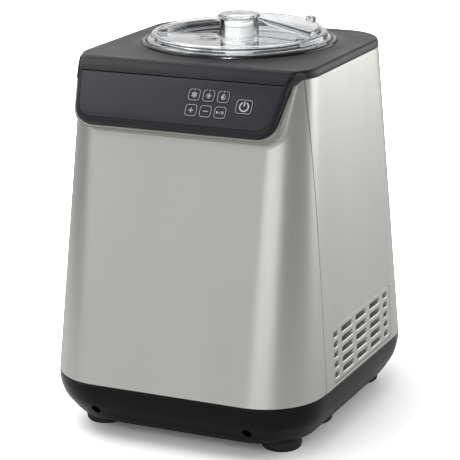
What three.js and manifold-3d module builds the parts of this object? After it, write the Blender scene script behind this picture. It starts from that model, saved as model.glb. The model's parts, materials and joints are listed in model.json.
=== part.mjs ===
// Compressor ice cream maker, in millimetres. +Z is up, the control panel faces -Y, and the origin is on the
// floor under the middle of the base.
import * as THREE from "three";
import { mergeVertices } from "three/addons/utils/BufferGeometryUtils.js";
import Module from "manifold-3d";

const wasm = await Module();
wasm.setup();

// ---------------------------------------------------------------- driving dimensions

const GAP = 0.3; // clearance between pieces that touch on the real object
const WALL = 2.4; // sheet and shell thickness of the outer casings

// The casing is a ruled shell between these two rounded outlines.
const SEAM = { z: 48.6, width: 122, front: -135.4, back: 135.4, frontCorner: 51.6, backCorner: 51.6 };
const BROW = { z: 315, width: 107.7, front: -90.3, back: 108.4, frontCorner: 31, backCorner: 42.5 };
const PANEL_SEAM_Y = -77; // vertical joint between the front panel and the wrap
const TOP_Z = 322.2; // flat top of the top cover
const TOP_INSET = 2.9; // how far the top's edge is rounded in

const FLOOR_Z = 12; // underside of the base
const CHASSIS_Z = 17;
const FOOT = { radius: 17, tip: 15.3, x: 84, rows: { front: -85, middle: -17, rear: 93 } };
const SCREW = { x: 71, y: 112, z: 24, head: 3.4, shank: 1.7, sink: 4.2 };

// The bowl, lid, cup and drive share one upright axis.
const AXIS = { x: 0, y: 19.8 };
const RING = { outer: 84.4, inner: 77.8, seat: 80.4, ledgeZ: 322.9, topZ: 325.8, bottomZ: 312 };
const LID = { radius: 79.9, rimRadius: 74.6, rimZ: 331.9, floorZ: 325, plateauZ: 329, tower: 17, towerZ: 343.2 };
const REFILL = { from: 114, to: 186, inner: 24, outer: 64 }; // sector opening in the lid, in degrees and mm
const DOOR = { from: -5, to: 105, outer: 69, cap: 18, capZ: 346.6, tab: 50 };
const BOWL = { radius: 69, wall: 1.8, floorZ: 191, rimZ: 320.6, rim: 76.4, chimney: 8.5, chimneyZ: 231 };
const CUP = { radius: 71.5, wall: 1.5, floorZ: 186, rimZ: 318.4 };
const COIL = { radius: 75.4, tube: 2.3, fromZ: 198, toZ: 287, turns: 4, startDeg: 225 };
const WELL = 78.6; // radius of the hole in the insulation
const PADDLE = { hub: 13.5, bottomZ: 195, topZ: 340, reach: 65.5, bladeTopZ: 296 };
const SHAFT = { radius: 4.5, bottomZ: 153.6, hexZ: 236, topZ: 246 };

// The control panel lies in a plane that leans back by this angle.
const PANEL = { lean: THREE.MathUtils.degToRad(31.25), y: -90, z: 322, depth: 6.5, length: 55.4 };
const BIB = { half: 98.4, taper: 0.165, corner: 17 }; // half-width at the top of the slope, and its loss per mm
const CREASE = { low: 90, top: 98.5, z: 263, corner: 20 }; // where the platform under the panel meets the front
const FASCIA = { top: 11.3, bottom: 50.4, halfTop: 92.3, halfBottom: 85.2, corner: 13, thickness: 1.6 };
const KEY = { width: 11, height: 10.6, corner: 3, travel: 0.8 };
const KEY_COLUMNS = [16.1, 29.1, 42.2];
const KEY_ROWS = [24.4, 37.8];
const KEY_NAMES = [
  ["key_cool", "key_keep_cool", "key_texture"],
  ["key_plus", "key_minus", "key_start"],
];
const POWER_KEY = { x: 62, s: 31.2, width: 14.8, height: 12.6 };

const VENT = { rows: 5, pitch: 8.85, firstRow: 9.4, slot: 4.2, fromY: -60, toY: 76, fromV: 3, toV: 52 };
const VENT_COLUMNS = [
  [-56.5, -47],
  [-38.6, -14],
  [-6, 18],
  [27, 50],
  [59.5, 69],
];

// Gear train: motor pinion, compound idler, output gear.
const PINION_TEETH = 8;
const IDLER_TEETH = 28;
const IDLER_SMALL_TEETH = 10;
const OUTPUT_TEETH = 30;
const FAST_MODULE = 1.9;
const SLOW_MODULE = 2.1;
const IDLER = { x: AXIS.x, y: AXIS.y - (SLOW_MODULE * (OUTPUT_TEETH + IDLER_SMALL_TEETH)) / 2, pin: 2 };
const MOTOR_TURN = THREE.MathUtils.degToRad(-40);
const MOTOR_REACH = (FAST_MODULE * (PINION_TEETH + IDLER_TEETH)) / 2;
const MOTOR = {
  x: IDLER.x + MOTOR_REACH * Math.cos(MOTOR_TURN),
  y: IDLER.y + MOTOR_REACH * Math.sin(MOTOR_TURN),
  radius: 22,
  bottomZ: 88,
};
const CASE = { minX: -38, maxX: 42, minY: -62, maxY: 58, bottomZ: 151, topZ: 173, wall: 2 };

const COMPRESSOR = { x: -38, y: 42, radius: 50, bottomZ: 31, topZ: 148, plateZ: 29 };
const FAN = { y: 15, z: 85, radius: 41, x: 60, blades: 5 };
const CONDENSER = { minX: 80, maxX: 102, minY: -34, maxY: 66, minZ: 32, maxZ: 132, fins: 9 };
const DRIER = { x: -70, y: -60, radius: 9, fromZ: 50, toZ: 110 };
const SUCTION = { deg: 225, radius: 88 }; // where the suction pipe comes down beside the cup
const GLAND = { x: -70, z: 90 };

// ---------------------------------------------------------------- finishes

const FINISH = {
  silver: { color: 0xb9b9b4, roughness: 0.38, metalness: 0.75 },
  charcoal: { color: 0x55555a, roughness: 0.5, metalness: 0.1 },
  black: { color: 0x222226, roughness: 0.45, metalness: 0 },
  gloss: { color: 0x141416, roughness: 0.12, metalness: 0 },
  clear: { color: 0xdfe3ea, roughness: 0.06, metalness: 0, transparent: true, opacity: 0.45 },
  white: { color: 0xe6e6dc, roughness: 0.4, metalness: 0 },
  aluminium: { color: 0xc7c9cb, roughness: 0.3, metalness: 0.9 },
  steel: { color: 0x8f9194, roughness: 0.35, metalness: 0.95 },
  copper: { color: 0xb06a3c, roughness: 0.35, metalness: 0.95 },
  rubber: { color: 0x1b1b1c, roughness: 0.9, metalness: 0 },
  foam: { color: 0xd9cfa8, roughness: 0.95, metalness: 0 },
  gear: { color: 0xe2ddc8, roughness: 0.5, metalness: 0 },
  board: { color: 0x1f5a3a, roughness: 0.5, metalness: 0.1 },
};

// ---------------------------------------------------------------- solids

// A closed geometry as a solid whose faces point outwards.
function solid(geometry) {
  const bare = new THREE.BufferGeometry().setAttribute("position", geometry.getAttribute("position").clone());
  if (geometry.index) bare.setIndex(geometry.index.clone());
  const merged = mergeVertices(bare, 1e-3);
  const vertProperties = merged.attributes.position.array;
  const triVerts = new Uint32Array(merged.index.array);
  const made = new wasm.Manifold(new wasm.Mesh({ numProp: 3, vertProperties, triVerts }));
  if (made.volume() > 0) return made;
  return new wasm.Manifold(new wasm.Mesh({ numProp: 3, vertProperties, triVerts: triVerts.reverse() }));
}

function geometryOf(made) {
  const mesh = made.getMesh();
  const geometry = new THREE.BufferGeometry();
  geometry.setAttribute("position", new THREE.BufferAttribute(new Float32Array(mesh.vertProperties), 3));
  geometry.setIndex(new THREE.BufferAttribute(new Uint32Array(mesh.triVerts), 1));
  return geometry;
}

const join = (first, ...rest) => geometryOf(rest.reduce((sum, piece) => sum.add(solid(piece)), solid(first)));
const cut = (first, ...rest) => geometryOf(rest.reduce((sum, piece) => sum.subtract(solid(piece)), solid(first)));
const common = (first, second) => geometryOf(solid(first).intersect(solid(second)));

// The other-handed copy across the plane x = 0.
function mirrored(geometry) {
  return geometryOf(solid(geometry.clone().scale(-1, 1, 1)));
}

// A polygon of [x, y, radius] corners with each corner rounded by an arc, as [x, y] points.
function rounded(corners, steps = 5) {
  return corners.flatMap(([x, y, radius], i) => {
    const corner = new THREE.Vector2(x, y);
    const before = new THREE.Vector2(...corners.at(i - 1)).sub(corner).normalize();
    const after = new THREE.Vector2(...corners[(i + 1) % corners.length]).sub(corner).normalize();
    if (!radius) return [[x, y]];
    const half = Math.acos(THREE.MathUtils.clamp(before.dot(after), -1, 1)) / 2;
    const turn = Math.sign(after.cross(before));
    const middle = before.clone().add(after).normalize().multiplyScalar(radius / Math.sin(half)).add(corner);
    const start = before.multiplyScalar(radius / Math.tan(half)).add(corner).sub(middle);
    const sweep = Math.PI - 2 * half;
    return Array.from({ length: steps + 1 }, (_, k) => {
      const at = start.clone().rotateAround(new THREE.Vector2(), (turn * sweep * k) / steps).add(middle);
      return [at.x, at.y];
    });
  });
}

const rectangle = (minX, maxX, minY, maxY, radius, steps) =>
  rounded(
    [
      [minX, minY, radius],
      [maxX, minY, radius],
      [maxX, maxY, radius],
      [minX, maxY, radius],
    ],
    steps,
  );

// An outline of [x, y] points raised from z = from to z = to.
function prism(outline, from, to) {
  const shape = new THREE.Shape(outline.map(([x, y]) => new THREE.Vector2(x, y)));
  return new THREE.ExtrudeGeometry(shape, { depth: to - from, bevelEnabled: false }).translate(0, 0, from);
}

const block = (minX, maxX, minY, maxY, minZ, maxZ) =>
  new THREE.BoxGeometry(maxX - minX, maxY - minY, maxZ - minZ).translate(
    (minX + maxX) / 2,
    (minY + maxY) / 2,
    (minZ + maxZ) / 2,
  );

// A closed [radius, z] profile turned about an upright axis.
function turned(profile, segments, x = AXIS.x, y = AXIS.y) {
  const onAxis = profile[0][0] === 0 && profile.at(-1)[0] === 0;
  const points = (onAxis ? profile : [...profile, profile[0]]).map(([r, z]) => new THREE.Vector2(r, z));
  return new THREE.LatheGeometry(points, segments).rotateX(Math.PI / 2).translate(x, y, 0);
}

const post = (x, y, radius, from, to, segments = 16) =>
  turned([[0, from], [radius, from], [radius, to], [0, to]], segments, x, y);

// A cylinder along X or along Y.
const rodX = (from, to, y, z, radius, segments = 16) =>
  post(0, 0, radius, from, to, segments).rotateY(Math.PI / 2).translate(0, y, z);
const rodY = (from, to, x, z, radius, segments = 16) =>
  post(0, 0, radius, -to, -from, segments).rotateX(Math.PI / 2).translate(x, 0, z);

// Rings of [x, y, z] points, all of one length, skinned in order and closed at both ends.
function loft(rings) {
  const count = rings[0].length;
  const index = [];
  for (let level = 0; level < rings.length - 1; level++) {
    for (let i = 0; i < count; i++) {
      const here = level * count + i;
      const next = level * count + ((i + 1) % count);
      index.push(here, next, next + count, here, next + count, here + count);
    }
  }
  const last = (rings.length - 1) * count;
  for (let i = 1; i < count - 1; i++) index.push(0, i + 1, i, last, last + i, last + i + 1);
  const geometry = new THREE.BufferGeometry();
  geometry.setAttribute("position", new THREE.Float32BufferAttribute(rings.flat(2), 3));
  return geometry.setIndex(index);
}

// A tube with closed ends along a smooth curve through the points.
function pipe(points, radius, steps, sides = 8) {
  const curve = new THREE.CatmullRomCurve3(points.map((p) => new THREE.Vector3(...p)));
  return tubeAlong(curve, radius, steps, sides);
}

function tubeAlong(curve, radius, steps, sides) {
  const turn = (2 * Math.PI) / sides;
  const section = Array.from({ length: sides }, (_, i) => [Math.cos(i * turn), Math.sin(i * turn)]);
  const shape = new THREE.Shape(section.map(([x, y]) => new THREE.Vector2(x * radius, y * radius)));
  return new THREE.ExtrudeGeometry(shape, { steps, extrudePath: curve, bevelEnabled: false });
}

// A flat piece of a ring about the bowl axis, between two angles in degrees.
function sector(fromDeg, toDeg, inner, outer, from, to) {
  const steps = Math.max(1, Math.ceil((toDeg - fromDeg) / 12));
  const at = (radius, k) => {
    const angle = THREE.MathUtils.degToRad(fromDeg + ((toDeg - fromDeg) * k) / steps);
    return [AXIS.x + radius * Math.cos(angle), AXIS.y + radius * Math.sin(angle)];
  };
  const ks = Array.from({ length: steps + 1 }, (_, k) => k);
  return prism([...ks.map((k) => at(outer, k)), ...ks.toReversed().map((k) => at(inner, k))], from, to);
}

// ---------------------------------------------------------------- frames of the sloping faces

// Control panel frame: x across, y up the slope, z out of the face.
const PANEL_MATRIX = new THREE.Matrix4()
  .makeRotationX(Math.PI / 2 - PANEL.lean)
  .setPosition(0, PANEL.y, PANEL.z);
const onPanel = (geometry) => geometry.applyMatrix4(PANEL_MATRIX);

// Right side frame: x runs along +Y, y up the side, z out of it. The rear frame is the same for the back.
const SIDE_LEAN = Math.atan((SEAM.width - BROW.width) / (BROW.z - SEAM.z));
const REAR_LEAN = Math.atan((SEAM.back - BROW.back) / (BROW.z - SEAM.z));
const SIDE_MATRIX = new THREE.Matrix4()
  .makeBasis(
    new THREE.Vector3(0, 1, 0),
    new THREE.Vector3(-Math.sin(SIDE_LEAN), 0, Math.cos(SIDE_LEAN)),
    new THREE.Vector3(Math.cos(SIDE_LEAN), 0, Math.sin(SIDE_LEAN)),
  )
  .setPosition(SEAM.width, 0, SEAM.z);
const REAR_MATRIX = new THREE.Matrix4()
  .makeBasis(
    new THREE.Vector3(-1, 0, 0),
    new THREE.Vector3(0, -Math.sin(REAR_LEAN), Math.cos(REAR_LEAN)),
    new THREE.Vector3(0, Math.cos(REAR_LEAN), Math.sin(REAR_LEAN)),
  )
  .setPosition(0, SEAM.back, SEAM.z);

// ---------------------------------------------------------------- casing

function caseRing(z, inset = 0) {
  const k = (z - SEAM.z) / (BROW.z - SEAM.z);
  const size = (name) => THREE.MathUtils.lerp(SEAM[name], BROW[name], k);
  const half = size("width") - inset;
  const front = size("front") + inset;
  const back = size("back") - inset;
  const frontCorner = size("frontCorner") - inset;
  const backCorner = size("backCorner") - inset;
  return rounded([
    [-half, front, frontCorner],
    [half, front, frontCorner],
    [half, back, backCorner],
    [-half, back, backCorner],
  ], 5).map(([x, y]) => [x, y, z]);
}

function caseTube() {
  const outer = loft([caseRing(SEAM.z), caseRing(BROW.z)]);
  const inner = loft([caseRing(SEAM.z - 2, WALL), caseRing(BROW.z + 2, WALL)]);
  return cut(outer, inner);
}

// The bib outline in the panel frame, grown or shrunk by an offset, with its top edge at height top.
function bibOutline(grow, top) {
  const side = (down) => BIB.half - BIB.taper * down + grow;
  const bottom = PANEL.length + grow;
  return rounded([
    [-side(bottom), -bottom, BIB.corner + grow],
    [side(bottom), -bottom, BIB.corner + grow],
    [side(-top), top, 0],
    [-side(-top), top, 0],
  ], 6);
}

function housingWrap() {
  const behindSeam = block(-130, 130, PANEL_SEAM_Y + GAP / 2, 140, 40, 320);
  const window = prism(rectangle(VENT.fromY, VENT.toY, VENT.fromV, VENT.toV, 4, 3), -8, 4).applyMatrix4(SIDE_MATRIX);
  const inlet = prism(rectangle(-6.8, 6.8, -6.8, 6.8, 6.7, 4), -8, 4)
    .translate(-GLAND.x, GLAND.z - SEAM.z, 0)
    .applyMatrix4(REAR_MATRIX);
  return cut(common(caseTube(), behindSeam), window, mirrored(window), inlet);
}

// How far forward the casing's outer surface is at x across its front or its front corners.
function frontY(x, z) {
  const k = (z - SEAM.z) / (BROW.z - SEAM.z);
  const size = (name) => THREE.MathUtils.lerp(SEAM[name], BROW[name], k);
  const corner = size("frontCorner");
  const beyond = Math.max(0, Math.abs(x) - (size("width") - corner));
  return size("front") + corner - Math.sqrt(corner ** 2 - beyond ** 2);
}

function frontPanel() {
  const beforeSeam = block(-130, 130, -140, PANEL_SEAM_Y - GAP / 2, 40, 320);
  const creaseRing = (inset, back) =>
    rounded([
      [-CREASE.low + inset, CREASE.z + inset, CREASE.corner],
      [CREASE.low - inset, CREASE.z + inset, CREASE.corner],
      [CREASE.top - inset, BROW.z, 0],
      [-CREASE.top + inset, BROW.z, 0],
    ], 6).map(([x, z]) => [x, frontY(x, z) + back, z]);
  const seatRing = (inset, depth) =>
    bibOutline(-inset, -8).map(([x, y]) => new THREE.Vector3(x, y, -depth).applyMatrix4(PANEL_MATRIX).toArray());
  const seat = PANEL.depth + GAP;
  const platform = loft([creaseRing(0, 1), seatRing(0, seat)]);
  const hollow = loft([creaseRing(3.4, 6), seatRing(3, seat + 2.2)]);
  const openFace = onPanel(prism(rectangle(-82, 82, -49.5, -14.5, 6, 3), -20, 5));
  const bib = onPanel(prism(bibOutline(GAP, 12), -seat, 30));
  const aboveBrow = block(-130, 130, -140, -60, BROW.z, 330);
  return cut(join(common(caseTube(), beforeSeam), platform), hollow, openFace, bib, aboveBrow);
}

// ---------------------------------------------------------------- top cover and control panel

function bibBody() {
  const down = (s, depth) => {
    const at = new THREE.Vector3(0, -s, -depth).applyMatrix4(PANEL_MATRIX);
    return [at.y, at.z];
  };
  const [shoulderY, shoulderZ] = down(FASCIA.top, 0);
  const curve = new THREE.QuadraticBezierCurve(
    new THREE.Vector2(-84, TOP_Z),
    new THREE.Vector2(PANEL.y, TOP_Z),
    new THREE.Vector2(shoulderY, shoulderZ),
  );
  const profile = [
    [-80, TOP_Z - 3],
    [-80, TOP_Z],
    ...curve.getPoints(5).map((p) => [p.x, p.y]),
    down(PANEL.length + 3, 0),
    down(PANEL.length + 3, PANEL.depth),
    down(4.7, PANEL.depth),
  ];
  // The profile is drawn in (y, z) and swept along x.
  const sweep = new THREE.Matrix4().makeBasis(
    new THREE.Vector3(0, 1, 0),
    new THREE.Vector3(0, 0, 1),
    new THREE.Vector3(1, 0, 0),
  );
  const slab = prism(profile, -104, 104).applyMatrix4(sweep);
  return common(slab, onPanel(prism(bibOutline(0, 12), -30, 30)));
}

function fasciaOutline(grow) {
  return rounded([
    [-FASCIA.halfBottom - grow, -FASCIA.bottom - grow, FASCIA.corner],
    [FASCIA.halfBottom + grow, -FASCIA.bottom - grow, FASCIA.corner],
    [FASCIA.halfTop + grow, -FASCIA.top + grow, 1],
    [-FASCIA.halfTop - grow, -FASCIA.top + grow, 1],
  ]);
}

function topCover() {
  const shoulder = [
    [BROW.z + GAP, 0],
    [319, 0.5],
    [321.2, 1.5],
    [TOP_Z, TOP_INSET],
  ];
  const capRing = ([z, inset]) => caseRing(BROW.z, inset).map(([x, y]) => [x, y, z]);
  const outer = loft(shoulder.map(capRing));
  const inner = loft([capRing([BROW.z - 1, WALL]), capRing([TOP_Z - 2.8, WALL])]);
  const recess = onPanel(prism(fasciaOutline(GAP), -FASCIA.thickness - GAP, 5));
  const keyWindow = onPanel(prism(rectangle(8.6, 49.6, -45.6, -16.8, 3, 3), -8, 5));
  const powerWindow = onPanel(prism(rectangle(53, 71, -39.5, -23, 3, 3), -8, 5));
  const bowlHole = post(AXIS.x, AXIS.y, RING.outer + GAP, 300, 330, 32);
  return cut(join(cut(outer, inner), bibBody()), recess, keyWindow, powerWindow, bowlHole);
}

const keyOutline = (width, height, grow = 0) =>
  rectangle(-width / 2 - grow, width / 2 + grow, -height / 2 - grow, height / 2 + grow, KEY.corner + grow, 2);

function controlFascia() {
  const holes = KEY_COLUMNS.flatMap((x) =>
    KEY_ROWS.map((s) => prism(keyOutline(KEY.width, KEY.height, GAP), -4, 4).translate(x, -s, 0)),
  );
  const power = prism(keyOutline(POWER_KEY.width, POWER_KEY.height, GAP), -4, 4);
  holes.push(power.translate(POWER_KEY.x, -POWER_KEY.s, 0));
  return cut(prism(fasciaOutline(0), -FASCIA.thickness, 0), ...holes);
}

// A key cap with the flange that keeps it behind the fascia, centred on its own place.
function keyCap(width, height) {
  const cap = prism(keyOutline(width, height), -3, 0.3);
  const flange = prism(keyOutline(width, height, 0.8), -3.4, -FASCIA.thickness - GAP - KEY.travel);
  return join(cap, flange);
}

function displayBoard() {
  const board = block(-74, 74, -48, -16, -10.1, -8.5);
  const switches = KEY_COLUMNS.flatMap((x) =>
    KEY_ROWS.map((s) => block(x - 2, x + 2, -s - 2, -s + 2, -8.6, -4.6)),
  );
  const power = block(POWER_KEY.x - 2, POWER_KEY.x + 2, -POWER_KEY.s - 2, -POWER_KEY.s + 2, -8.6, -4.6);
  return join(board, ...switches, power);
}

function openingRing() {
  return turned([
    [RING.inner, RING.bottomZ],
    [RING.outer, RING.bottomZ],
    [RING.outer, 323.6],
    [83.7, 325.2],
    [82.3, RING.topZ],
    [81, 325.2],
    [RING.seat, 324],
    [RING.seat, RING.ledgeZ],
    [RING.inner, RING.ledgeZ],
  ], 32);
}

// ---------------------------------------------------------------- lid and refill door

function lid() {
  const underside = RING.ledgeZ + GAP;
  const body = turned([
    [LID.radius, underside],
    [LID.radius, 326.2],
    [79.3, 326.7],
    [76.7, 326.9],
    [75.7, 331.2],
    [LID.rimRadius, LID.rimZ],
    [71.6, LID.rimZ],
    [70.7, 331.2],
    [69.6, LID.floorZ],
    [LID.tower, LID.floorZ],
    [LID.tower, LID.towerZ],
    [LID.tower - 2, LID.towerZ],
    [LID.tower - 2, underside],
    [71.3, underside],
    [72.6, 329.8],
    [74, 329.8],
    [74.9, underside],
  ], 28);
  const plateau = sector(-167, -13, LID.tower - 1.5, 70.4, LID.floorZ - 1, LID.plateauZ);
  const hollow = sector(-164, -16, LID.tower + 0.8, 68.4, 320, LID.plateauZ - 2);
  const refill = sector(REFILL.from, REFILL.to, REFILL.inner, REFILL.outer, 320, 330);
  const clips = [-15, -165].map((deg) => sector(deg - 2, deg + 2, 64, 69.5, LID.plateauZ - 1, 331.6));
  return cut(join(body, plateau, ...clips), hollow, refill);
}

function refillDoor() {
  const cap = turned([
    [0, 343.6],
    [11, 343.6],
    [11, 341],
    [LID.tower - 2.5, 341],
    [LID.tower - 2.5, 343.6],
    [DOOR.cap, 343.6],
    [DOOR.cap, 345.4],
    [16.6, DOOR.capZ],
    [0, DOOR.capZ],
  ], 16);
  const cone = (drop) =>
    turned([
      [19, 343.4 - drop],
      [DOOR.outer, 333.8 - drop * 0.2],
      [DOOR.outer, 336],
      [16, 345.8],
      [16, 343.9],
      [19, 343.6],
    ], 28);
  const sheet = common(cone(0), sector(DOOR.from, DOOR.to, 15, 80, 320, 350));
  const sides = [DOOR.from, DOOR.to - 2.5].map((deg) =>
    common(cone(5), sector(deg, deg + 2.5, 18.4, 80, 320, 350)),
  );
  const lip = sector(DOOR.from, DOOR.to, DOOR.outer - 2, DOOR.outer, 332.6, 335);
  const tab = sector(DOOR.tab - 4, DOOR.tab + 4, DOOR.outer - 3, DOOR.outer + 3, 334, 338.5);
  return join(cap, sheet, ...sides, lip, tab);
}

// ---------------------------------------------------------------- bowl, cup and paddle

function bowl() {
  const inside = BOWL.radius - BOWL.wall;
  return turned([
    [6.2, BOWL.floorZ],
    [62, BOWL.floorZ],
    [67, 193],
    [BOWL.radius, 198],
    [BOWL.radius, BOWL.rimZ - BOWL.wall],
    [BOWL.rim, BOWL.rimZ - BOWL.wall],
    [BOWL.rim, BOWL.rimZ],
    [inside, BOWL.rimZ],
    [inside, 199],
    [61, 193],
    [BOWL.chimney, 193],
    [BOWL.chimney, BOWL.chimneyZ],
    [6.2, BOWL.chimneyZ],
  ], 24);
}

function evaporatorCup() {
  const inside = CUP.radius - CUP.wall;
  return turned([
    [12.3, CUP.floorZ],
    [65, CUP.floorZ],
    [CUP.radius, 193],
    [CUP.radius, CUP.rimZ - CUP.wall],
    [BOWL.rim, CUP.rimZ - CUP.wall],
    [BOWL.rim, CUP.rimZ],
    [inside, CUP.rimZ],
    [inside, 194],
    [64, CUP.floorZ + CUP.wall],
    [12.3, CUP.floorZ + CUP.wall],
  ], 24);
}

// The evaporator tube: a helix round the cup.
class Helix extends THREE.Curve {
  getPoint(t) {
    const angle = THREE.MathUtils.degToRad(COIL.startDeg) + 2 * Math.PI * COIL.turns * t;
    const z = THREE.MathUtils.lerp(COIL.fromZ, COIL.toZ, t);
    return new THREE.Vector3(
      AXIS.x + COIL.radius * Math.cos(angle),
      AXIS.y + COIL.radius * Math.sin(angle),
      z,
    );
  }
}

function evaporatorCoil() {
  return tubeAlong(new Helix(), COIL.tube, COIL.turns * 18, 6);
}

function insulationBlock() {
  const slab = prism(rounded([
    [-96, -66, 24],
    [96, -66, 24],
    [96, 102, 38],
    [-96, 102, 38],
  ]), 177.3, 311);
  const well = post(AXIS.x, AXIS.y, WELL, CUP.floorZ - GAP, 320, 28);
  const bushHole = post(AXIS.x, AXIS.y, 12.3, 170, 200, 20);
  const [x, y] = suctionPlace(SUCTION.radius);
  const [innerX, innerY] = suctionPlace(70);
  const shaft = block(x - 4, x + 4, y - 4, y + 4, 170, 292);
  const slot = block(x - 1, innerX, y - 1, innerY, COIL.toZ - 5, 292);
  const [entryX, entryY] = suctionPlace(COIL.radius);
  const entry = block(entryX - 3, entryX + 3, entryY - 3, entryY + 3, 170, 200);
  return cut(slab, well, bushHole, shaft, slot, entry);
}

function suctionPlace(radius) {
  const angle = THREE.MathUtils.degToRad(SUCTION.deg);
  return [AXIS.x + radius * Math.cos(angle), AXIS.y + radius * Math.sin(angle)];
}

// The mixing paddle: a hub that drops over the bowl's chimney, a floor scraper and two wall blades.
function paddle() {
  const hub = turned([
    [9, PADDLE.bottomZ],
    [PADDLE.hub, PADDLE.bottomZ],
    [PADDLE.hub, PADDLE.topZ],
    [11, PADDLE.topZ],
    [11, 252],
    [0, 252],
    [0, SHAFT.hexZ + 0.5],
    [9, SHAFT.hexZ + 0.5],
  ], 18);
  const socket = post(AXIS.x, AXIS.y, SHAFT.radius + 0.4, SHAFT.hexZ - 1, SHAFT.topZ + 1, 6);
  const arm = (side) =>
    join(
      block(12, PADDLE.reach, -3, 3, PADDLE.bottomZ + 4, PADDLE.bottomZ + 14),
      block(PADDLE.reach - 12, PADDLE.reach, -2, 2, PADDLE.bottomZ + 5, PADDLE.bladeTopZ).rotateZ(0.05),
      block(12, PADDLE.reach - 4, -2, 2, 262, 272),
      block(22, 32, -2, 2, PADDLE.bottomZ + 12, 264),
    )
      .rotateZ(side)
      .translate(AXIS.x, AXIS.y, 0);
  return cut(join(hub, arm(0.35), arm(0.35 + Math.PI)), socket);
}

function driveShaft() {
  const round = post(AXIS.x, AXIS.y, SHAFT.radius, SHAFT.bottomZ, SHAFT.hexZ, 18);
  const hex = post(AXIS.x, AXIS.y, SHAFT.radius, SHAFT.hexZ - 1, SHAFT.topZ, 6);
  return join(round, hex);
}

function shaftBush() {
  return turned([
    [SHAFT.radius + GAP, 178],
    [12, 178],
    [12, 188.6],
    [9, 190.4],
    [SHAFT.radius + GAP, 190.4],
  ], 14);
}

// ---------------------------------------------------------------- gear train

// A straight-toothed gear centred on the origin, with one tooth centred on the angle phase.
function gear(teeth, module, from, to, phase) {
  const pitch = (module * teeth) / 2;
  const step = (2 * Math.PI) / teeth;
  const corners = [
    [pitch - 1.15 * module, -0.3],
    [pitch + 0.85 * module, -0.11],
    [pitch + 0.85 * module, 0.11],
    [pitch - 1.15 * module, 0.3],
  ];
  const outline = Array.from({ length: teeth }, (_, tooth) =>
    corners.map(([radius, share]) => {
      const angle = phase + (tooth + share) * step;
      return [radius * Math.cos(angle), radius * Math.sin(angle)];
    }),
  ).flat();
  return prism(outline, from, to);
}

const toIdler = -Math.PI / 2; // direction from the output gear to the idler

function outputGear() {
  const teeth = gear(OUTPUT_TEETH, SLOW_MODULE, 163, 171, toIdler).translate(AXIS.x, AXIS.y, 0);
  return cut(teeth, post(AXIS.x, AXIS.y, SHAFT.radius + GAP, 150, 190, 18));
}

function idlerGear() {
  const half = (teeth) => Math.PI / teeth;
  const small = gear(IDLER_SMALL_TEETH, SLOW_MODULE, 160, 171, Math.PI / 2 + half(IDLER_SMALL_TEETH));
  const large = gear(IDLER_TEETH, FAST_MODULE, 154.5, 160.5, MOTOR_TURN);
  const bore = post(0, 0, IDLER.pin + GAP, 150, 180, 14);
  return cut(join(small, large), bore).translate(IDLER.x, IDLER.y, 0);
}

function motorPinion() {
  const teeth = gear(PINION_TEETH, FAST_MODULE, 154.5, 161, MOTOR_TURN + Math.PI + Math.PI / PINION_TEETH);
  return join(teeth, post(0, 0, 2, 138, 162, 12)).translate(MOTOR.x, MOTOR.y, 0);
}

function gearboxCase() {
  const outer = prism(rectangle(CASE.minX, CASE.maxX, CASE.minY, CASE.maxY, 12), CASE.bottomZ, CASE.topZ);
  const inner = prism(
    rectangle(CASE.minX + CASE.wall, CASE.maxX - CASE.wall, CASE.minY + CASE.wall, CASE.maxY - CASE.wall, 10),
    CASE.bottomZ + CASE.wall,
    200,
  );
  return cut(outer, inner, post(MOTOR.x, MOTOR.y, 3.5, 140, 160, 14));
}

function gearboxCover() {
  const plate = prism(
    rectangle(CASE.minX, CASE.maxX, CASE.minY, CASE.maxY, 12),
    CASE.topZ + GAP,
    CASE.topZ + 2.8,
  );
  return cut(plate, post(AXIS.x, AXIS.y, SHAFT.radius + GAP, 150, 190, 18));
}

function churnMotor() {
  const top = CASE.bottomZ - GAP;
  const can = turned([
    [0, MOTOR.bottomZ],
    [8, MOTOR.bottomZ],
    [8, MOTOR.bottomZ + 3],
    [MOTOR.radius - 2, MOTOR.bottomZ + 3],
    [MOTOR.radius, MOTOR.bottomZ + 5],
    [MOTOR.radius, top - 6],
    [MOTOR.radius + 3, top - 6],
    [MOTOR.radius + 3, top - 3],
    [10, top - 3],
    [10, top],
    [0, top],
  ], 16, MOTOR.x, MOTOR.y);
  return cut(can, post(MOTOR.x, MOTOR.y, 2.4, 136, 160, 12));
}

// ---------------------------------------------------------------- base

function baseRing(z, inset, depthInset, wall = 0) {
  const half = SEAM.width - inset - wall;
  const depth = SEAM.back - depthInset - wall;
  const corner = SEAM.frontCorner - 0.4 * inset - wall;
  return rectangle(-half, half, -depth, depth, corner, 4).map(([x, y]) => [x, y, z]);
}

// Height, side inset and end inset of the base's rounded flank.
const FLANK = [
  [SEAM.z - GAP, 0, 0],
  [40, 0.5, 0.8],
  [30, 2.8, 3.9],
  [22, 7, 8.9],
  [16, 10.8, 13.2],
  [FLOOR_Z, 14, 17],
];

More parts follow.
